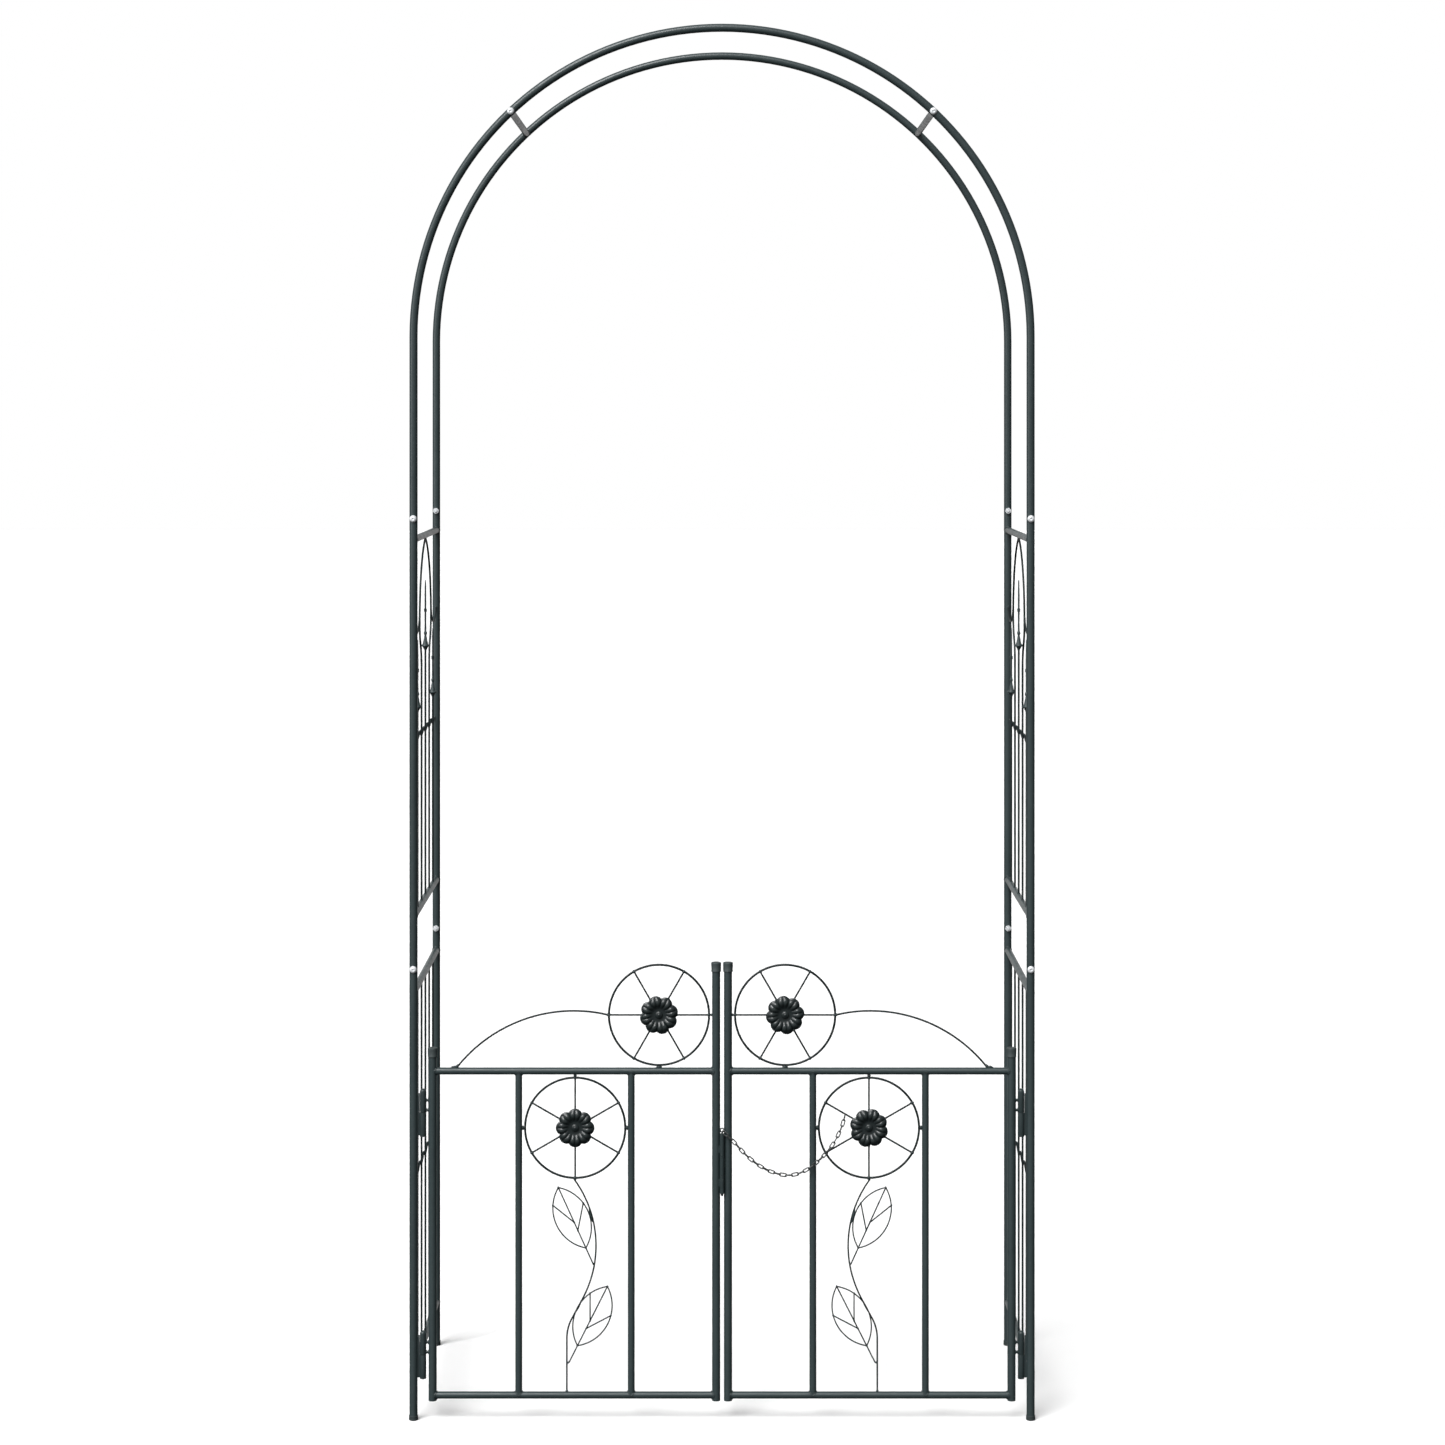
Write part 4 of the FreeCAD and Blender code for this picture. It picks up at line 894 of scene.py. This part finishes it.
def make_hook_plate(mesh, axis, sign, bottom, top, split):
    """The plate between a hook's knuckle and the post, cut back beside the leaf's knuckle."""
    post_face = HINGE_TO_POST - POST + 0.3 * MM
    inner = KNUCKLE - 0.5 * MM
    edge = KNUCKLE + 0.3 * MM
    outline = [(inner, bottom + 2 * MM), (post_face, bottom + 2 * MM), (post_face, top - 0.6 * MM),
               (post_face - 0.6 * MM, top), (edge + 0.6 * MM, top), (edge, top - 0.6 * MM),
               (edge, split - 0.25 * MM), (inner, split - 0.25 * MM)]
    centre_u = (KNUCKLE + post_face) / 2
    centre_z = (bottom + top) / 2
    rows = []
    for depth, inset in ((-1.5, 0.35), (-1.2, 0.0), (1.2, 0.0), (1.5, 0.35)):
        row = []
        for u, z in outline:
            u_in = u + math.copysign(inset * MM, centre_u - u)
            z_in = z + math.copysign(inset * MM, centre_z - z)
            row.append(axis + RIGHT * sign * u_in + UP * z_in + BACK * depth * MM)
        rows.append(row)
    mesh.grid(rows)
    step_height = 1.1 * MM
    levels = int((top - bottom) / step_height) - 3
    for face in (-1, 1):
        start = axis + RIGHT * sign * (post_face - 0.2 * MM) + BACK * face * 1.9 * MM
        path = [start + UP * (bottom + 3 * MM + step * step_height) for step in range(levels)]
        weld_bead(mesh, path, 0.95 * MM)


# ---------------- latch
LATCH_BORE = 2.7 * MM
LATCH_KNUCKLE = 4.0 * MM
LONG_KNUCKLE = 36 * MM         # a longer one has its lug nearer its foot
LUG_HEIGHT = 12 * MM
LATCH_AXIS = Vector((0, LATCH_PLANE, 0))


def latch_profile(low, high):
    """A short tube with softened edges."""
    soft = 0.4 * MM
    return [(LATCH_BORE, low + soft), (LATCH_BORE + soft, low), (LATCH_KNUCKLE - soft, low),
            (LATCH_KNUCKLE, low + soft), (LATCH_KNUCKLE, high - soft), (LATCH_KNUCKLE - soft, high),
            (LATCH_BORE + soft, high), (LATCH_BORE, high - soft)]


def make_latch():
    for side in SIDES:
        node = "left_latch_knuckles" if side == "left" else "right_latch_knuckle"
        mesh = Mesh()
        stile = middle(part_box(f"{side}_meeting_stile"))
        axis = LATCH_AXIS
        towards = Vector((stile.x, GATE_PLANE - LATCH_PLANE, 0)).normalized()
        reach = math.hypot(stile.x, GATE_PLANE - LATCH_PLANE)
        for low, high in solids(node):
            lathe_hollow(mesh, latch_profile(low.z, high.z), axis, UP, 32)
            span = high.z - low.z
            lug_low = low.z + span * (0.15 if span > LONG_KNUCKLE else 0.4)
            make_lug(mesh, axis, towards, reach - POST, lug_low)
        mesh.make(f"{side}_latch", f"{side}_gate", "coated_fittings", [node], sharp=38)
    make_pin()


def make_lug(mesh, axis, towards, end, bottom):
    """A short web from a latch knuckle to its stile, with a weld along each side."""
    sideways = UP.cross(towards)
    corners = ((-1.5, 0.4), (-1.1, 0), (1.1, 0), (1.5, 0.4))
    outline = [(u, bottom + z * MM) for u, z in corners]
    outline += [(u, bottom + LUG_HEIGHT - z * MM) for u, z in reversed(corners)]
    mesh.grid([[axis + towards * reach + sideways * u * MM + UP * z for u, z in outline]
               for reach in (LATCH_KNUCKLE - 0.5 * MM, end + 0.6 * MM)])
    for face in (-1, 1):
        for reach in (LATCH_KNUCKLE + 0.1 * MM, end - 0.1 * MM):
            path = [axis + towards * reach + sideways * face * 1.7 * MM + UP * (bottom + step * MM)
                    for step in range(int(LUG_HEIGHT / MM) + 1)]
            weld_bead(mesh, path, 0.8 * MM)


def make_pin():
    """The drop pin: pointed foot, rod, flange and a bent eye closed by a weld."""
    low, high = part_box("latch_pin")
    axis = LATCH_AXIS
    radius, wire, eye = 2.4 * MM, 1.1 * MM, 3.3 * MM
    eye_centre = axis + UP * (high.z - eye - wire)
    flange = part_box("left_latch_knuckles")[1].z + 0.3 * MM
    mesh = Mesh()
    profile = [(0.7 * MM, low.z), (1.5 * MM, low.z + 0.5 * MM), (radius, low.z + 3.5 * MM),
               (radius, flange), (3.5 * MM, flange), (3.8 * MM, flange + 0.35 * MM),
               (3.8 * MM, flange + 1.2 * MM), (3.4 * MM, flange + 1.6 * MM), (2.0 * MM, flange + 1.7 * MM),
               (1.5 * MM, flange + 2.2 * MM), (1.2 * MM, eye_centre.z - eye + 0.4 * MM)]
    lathe(mesh, profile, axis, UP, 32)
    sweep(mesh, ring_points(eye_centre, RIGHT, UP, eye, 36), wire, 12, closed=True, up=BACK)
    weld_blob(mesh, eye_centre - UP * eye, 1.5 * MM, UP, 0.8)
    mesh.make("pin", "latch_pin", "coated_fittings", ["latch_pin"], sharp=40)


# ---------------- welds
PANEL_BAYS = 6
CROWN_JOINT = math.radians(46.8)
# Sizes of the beads round a tube's or a wire's end
RAIL_BEAD = 1.3 * MM
BALUSTER_BEAD = 1.2 * MM
WIRE_BEAD = 0.85 * MM
TIE_BEAD = 0.7 * MM


def weld_panels(mesh):
    """Beads on the side panels: rails to posts, wires to rails, scallops to wires."""
    for side, sign in SIDES.items():
        rails = [middle(box) for box in by_height(solids(f"{side}_panel_rails"))]
        posts = [middle(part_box(f"{end}_{side}_lower_post")) for end in ("front", "rear")]
        bay = (posts[1].y - posts[0].y) / PANEL_BAYS
        for rail in rails:
            for post in posts:
                inward = BACK if post.y < 0 else FRONT
                weld_ring(mesh, Vector((post.x, post.y, rail.z)), inward, RIGHT, BAR, POST, RAIL_BEAD)
        across = rails[0].x
        bottom, top, upper = (rail.z for rail in rails[:3])
        for low, high in solids(f"{side}_lower_wires"):
            foot = Vector((across, (low.y + high.y) / 2, 0))
            weld_ring(mesh, foot + UP * bottom, UP, RIGHT, PANEL_WIRE, BAR, WIRE_BEAD)
            weld_ring(mesh, foot + UP * top, -UP, RIGHT, PANEL_WIRE, BAR, WIRE_BEAD)
        for low, high in solids(f"{side}_upper_wires"):
            foot = Vector((across, (low.y + high.y) / 2, upper))
            weld_ring(mesh, foot, UP, RIGHT, PANEL_WIRE, BAR, WIRE_BEAD)
        for low, high in on_side("ogive_wires", sign):
            end = 1 if high.y + low.y > 0 else -1
            weld_ring(mesh, Vector((across, end * bay, upper)), UP, RIGHT, PANEL_WIRE, BAR, WIRE_BEAD)
            weld_blob(mesh, Vector((across, end * 1.4 * MM, high.z - 0.8 * MM)), 2.3 * MM, BACK, 1.2)
        for low, high in solids(f"{side}_scallop_wires"):
            crest = high.z - SCALLOP_WIRE
            for number in range(1, PANEL_BAYS):
                touch = Vector((across + sign * (PANEL_WIRE + 0.2 * MM), posts[0].y + number * bay, crest))
                weld_blob(mesh, touch, 1.9 * MM, UP, 1.25)
            end_x = middle((low, high)).x - sign * 0.6 * MM
            for y in (low.y, high.y):
                weld_blob(mesh, Vector((end_x, y, crest - 2.0 * MM)), 2.0 * MM, BACK, 0.9)
        for low, high in on_side("ogive_swags", sign):
            for y in (low.y + 0.6 * MM, high.y - 0.6 * MM):
                weld_blob(mesh, Vector((across, y, high.z - 1.6 * MM)), 2.1 * MM, UP, 1.3)


# The angle of a wheel's first spoke, in degrees
FIRST_SPOKE = {"upper": 0, "lower": 30}
HUB = 30                       # millimetres from a wheel's centre to its rosette's welds


def weld_gate(side):
    """Beads on one leaf: rails, balusters, wheels, brace wire and vine."""
    sign = SIDES[side]
    mesh = Mesh()
    rails = [middle(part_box(f"{side}_{part}")) for part in ("bottom_rail", "top_rail")]
    stiles = [middle(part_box(f"{side}_{part}")) for part in ("hinge_stile", "meeting_stile")]
    for rail in rails:
        for stile in stiles:
            inward = RIGHT * (1 if rail.x > stile.x else -1)
            weld_ring(mesh, on_gate(stile.x, rail.z), inward, BACK, BAR, POST, RAIL_BEAD)
    balusters = [middle(box).x for box in solids(f"{side}_balusters")]
    for across in balusters:
        weld_ring(mesh, on_gate(across, rails[0].z), UP, BACK, BALUSTER, BAR, BALUSTER_BEAD)
        weld_ring(mesh, on_gate(across, rails[1].z), -UP, BACK, BALUSTER, BAR, BALUSTER_BEAD)
    centres = wheel_centres(side)
    upper, lower = centres["upper"], centres["lower"]
    ring = (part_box(f"{side}_upper_wheel")[1].z - upper.z) - RING_WIRE
    for level, centre in centres.items():
        for number in range(6):
            angle = math.radians(FIRST_SPOKE[level] + 60 * number)
            radial = RIGHT * math.cos(angle) + UP * math.sin(angle)
            weld_blob(mesh, centre + radial * (ring - 0.3 * MM), 2.8 * MM, radial, 1.1)
            weld_blob(mesh, centre + radial * HUB * MM + FRONT * 0.5 * MM, 2.2 * MM, radial, 1.6)
    rail_top, rail_foot = rails[1].z + BAR, rails[1].z - BAR
    weld_blob(mesh, on_gate(upper.x, rail_top + 0.9 * MM), 2.8 * MM, RIGHT, 1.8)
    weld_blob(mesh, on_gate(lower.x, rail_foot - 1.8 * MM), 3.0 * MM, UP, 1.0)
    for across in balusters:
        face = across + math.copysign(BALUSTER, lower.x - across)
        reach = math.copysign(ring + RING_WIRE, across - lower.x)
        weld_blob(mesh, on_gate((face + lower.x + reach) / 2, lower.z), 2.6 * MM, UP, 1.5)
    meeting_face = stiles[1].x + sign * POST
    weld_blob(mesh, on_gate(meeting_face + sign * 0.6 * MM, upper.z), 2.4 * MM, RIGHT, 0.9)
    weld_brace_and_vine(mesh, side, sign, rails, upper, lower, ring)
    mesh.make(f"{side}_gate_welds", f"{side}_gate", "coated_fittings", sharp=60)


# Where the vine's leaves are welded to its stem: both ends of each weld, as distance from the gate's
# middle and height in millimetres.  The long ones are where a leaf's edge runs beside the stem.
STEM_WELDS = [
    ((266.3, 98.0), (264.0, 99.6)), ((253.2, 183.2), (241.8, 204.4)),
    ((219.8, 266.6), (220.8, 268.8)), ((222.2, 338.9), (228.5, 362.1)),
]
STEM_FOOT = 266.8 * MM
# Each leaf's foot, as distance and height in the same way, and its lean in degrees
LEAVES = [((234.0, 296.2), 114.5), ((248.4, 128.3), 63.2)]
# Where a leaf's wires are welded: how far along its middle and how far beside it, in millimetres
LEAF_SPOTS = [(0, 0), (114, 0), (48, 0), (33, 0), (90, 21.3), (72, -27.9)]


def weld_brace_and_vine(mesh, side, sign, rails, upper, lower, ring):
    brace_low, brace_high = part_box(f"{side}_brace_wire")
    outer = brace_low.x if sign < 0 else brace_high.x
    foot = on_gate(outer, rails[1].z + BAR)
    slant = (UP - RIGHT * sign).normalized()
    weld_blob(mesh, foot + UP * 0.6 * MM + RIGHT * sign * 1.5 * MM, 2.6 * MM, RIGHT, 2.5)
    weld_blob(mesh, foot + UP * 2.2 * MM - RIGHT * sign * 2.4 * MM, 2.6 * MM, slant, 1.6)
    brace_end = on_gate(upper.x + sign * (ring + 1.6 * MM), upper.z + 0.3 * MM)
    weld_blob(mesh, brace_end, 2.5 * MM, RIGHT, 1.3)
    weld_blob(mesh, on_gate(lower.x, lower.z - ring - 1.6 * MM), 2.7 * MM, UP, 1.1)
    weld_blob(mesh, on_gate(sign * STEM_FOOT, rails[0].z + BAR + 0.5 * MM), 2.4 * MM, UP, 1.0)
    leaf_plane = GATE_PLANE - 1.6 * MM
    for ends in STEM_WELDS:
        start, finish = (Vector((sign * across * MM, leaf_plane, height * MM)) for across, height in ends)
        size = 1.9 * MM
        stretch = (finish - start).length / 2 / size
        weld_blob(mesh, (start + finish) / 2, size, (finish - start).normalized(), max(stretch, 1.2))
    for (across, height), lean in LEAVES:
        angle = math.radians(lean if sign < 0 else 180 - lean)
        along = RIGHT * math.cos(angle) + UP * math.sin(angle)
        beside = FRONT.cross(along) * -sign
        foot = Vector((sign * across * MM, GATE_PLANE - 3.2 * MM, height * MM))
        for rise, drift in LEAF_SPOTS:
            weld_blob(mesh, foot + along * rise * MM + beside * drift * MM, 1.75 * MM, along, 1.2)


def make_welds():
    mesh = Mesh()
    weld_panels(mesh)
    for low, high in solids("tie_bars"):
        for y, inward in ((low.y, BACK), (high.y, FRONT)):
            at = Vector(((low.x + high.x) / 2, y, (low.z + high.z) / 2))
            slant = math.copysign(1, at.x)
            radial = Vector((slant * math.cos(CROWN_JOINT), 0, math.sin(CROWN_JOINT)))
            weld_ring(mesh, at - inward * POST, inward, radial, BAR, POST, TIE_BEAD)
    mesh.make("arch_welds", "arch_frame", "coated_fittings", sharp=60)
    for side in SIDES:
        weld_gate(side)


# ---------------- surroundings
KEY_FROM = Vector((-0.42, -0.74, 0.95)).normalized()
STRIP_FROM = Vector((-3.6, -2.2, 2.6))
STRIP_AT = Vector((0, 0, 1.2))
FLOOR_REACH = 40.0


def make_floor():
    """A pale floor that the camera sees; it throws no light back up at the undersides."""
    data = bpy.data.meshes.new("floor")
    corners = [(x * FLOOR_REACH, y * FLOOR_REACH, 0) for x, y in ((-1, -1), (1, -1), (1, 1), (-1, 1))]
    data.from_pydata(corners, [], [(0, 1, 2, 3)])
    finish = Finish("floor")
    finish.colour(finish.blend(finish.noise(1.5, 3.0), (0.86, 0.86, 0.86), (0.88, 0.88, 0.88)))
    finish.set("Roughness", 0.9)
    finish.set("Specular IOR Level", 0.0)
    finish.set("Emission Color", (1, 1, 1, 1))
    finish.set("Emission Strength", 0.12)
    data.materials.append(finish.material)
    floor = add_object("floor", data)
    floor.visible_diffuse = False
    floor.visible_glossy = False


def make_sky():
    """A white room to look at, and as a light one that is bright on the key's side and dim below."""
    world = bpy.data.worlds.new("studio")
    world.use_nodes = True
    bpy.context.scene.world = world
    tree = world.node_tree
    background = tree.nodes["Background"]
    direction = tree.nodes.new("ShaderNodeTexCoord").outputs["Generated"]

    def glow(centre, start, full, low, high):
        """A pool of light about a direction, which fades out where the angle's cosine is start."""
        facing = tree.nodes.new("ShaderNodeVectorMath")
        facing.operation = "DOT_PRODUCT"
        facing.inputs[1].default_value = centre
        tree.links.new(direction, facing.inputs[0])
        pool = tree.nodes.new("ShaderNodeMapRange")
        for name, value in (("From Min", start), ("From Max", full), ("To Min", low), ("To Max", high)):
            pool.inputs[name].default_value = value
        tree.links.new(facing.outputs["Value"], pool.inputs["Value"])
        return pool.outputs["Result"]

    total = tree.nodes.new("ShaderNodeMath")
    total.operation = "ADD"
    tree.links.new(glow(KEY_FROM, -0.35, 1.0, 0.03, 0.5), total.inputs[0])
    tree.links.new(glow(BACK, 0.75, 0.97, 0.0, 0.68), total.inputs[1])
    ray = tree.nodes.new("ShaderNodeLightPath")
    level = tree.nodes.new("ShaderNodeMix")
    tree.links.new(ray.outputs["Is Camera Ray"], level.inputs["Factor"])
    tree.links.new(total.outputs["Value"], level.inputs["A"])
    level.inputs["B"].default_value = 1.0
    tree.links.new(level.outputs["Result"], background.inputs["Strength"])
    background.inputs["Color"].default_value = (1, 1, 1, 1)


def make_studio():
    make_floor()
    make_sky()
    sun = bpy.data.lights.new("key", "SUN")
    sun.energy = 3.6
    sun.angle = math.radians(36)
    add_object("key", sun).rotation_euler = KEY_FROM.to_track_quat("Z", "Y").to_euler()
    strip = bpy.data.lights.new("side_strip", "AREA")
    strip.shape = "RECTANGLE"
    strip.size, strip.size_y = 0.8, 3.0
    strip.energy = 40
    lamp = add_object("side_strip", strip)
    lamp.location = STRIP_FROM
    lamp.rotation_euler = (STRIP_AT - STRIP_FROM).to_track_quat("-Z", "Y").to_euler()
    bpy.context.scene.view_settings.view_transform = "Standard"


make_camera()
make_chain()
finish_cad_nodes()
make_rosettes()
make_caps()
make_fasteners()
make_finials()
make_hinges()
make_latch()
make_welds()
make_studio()
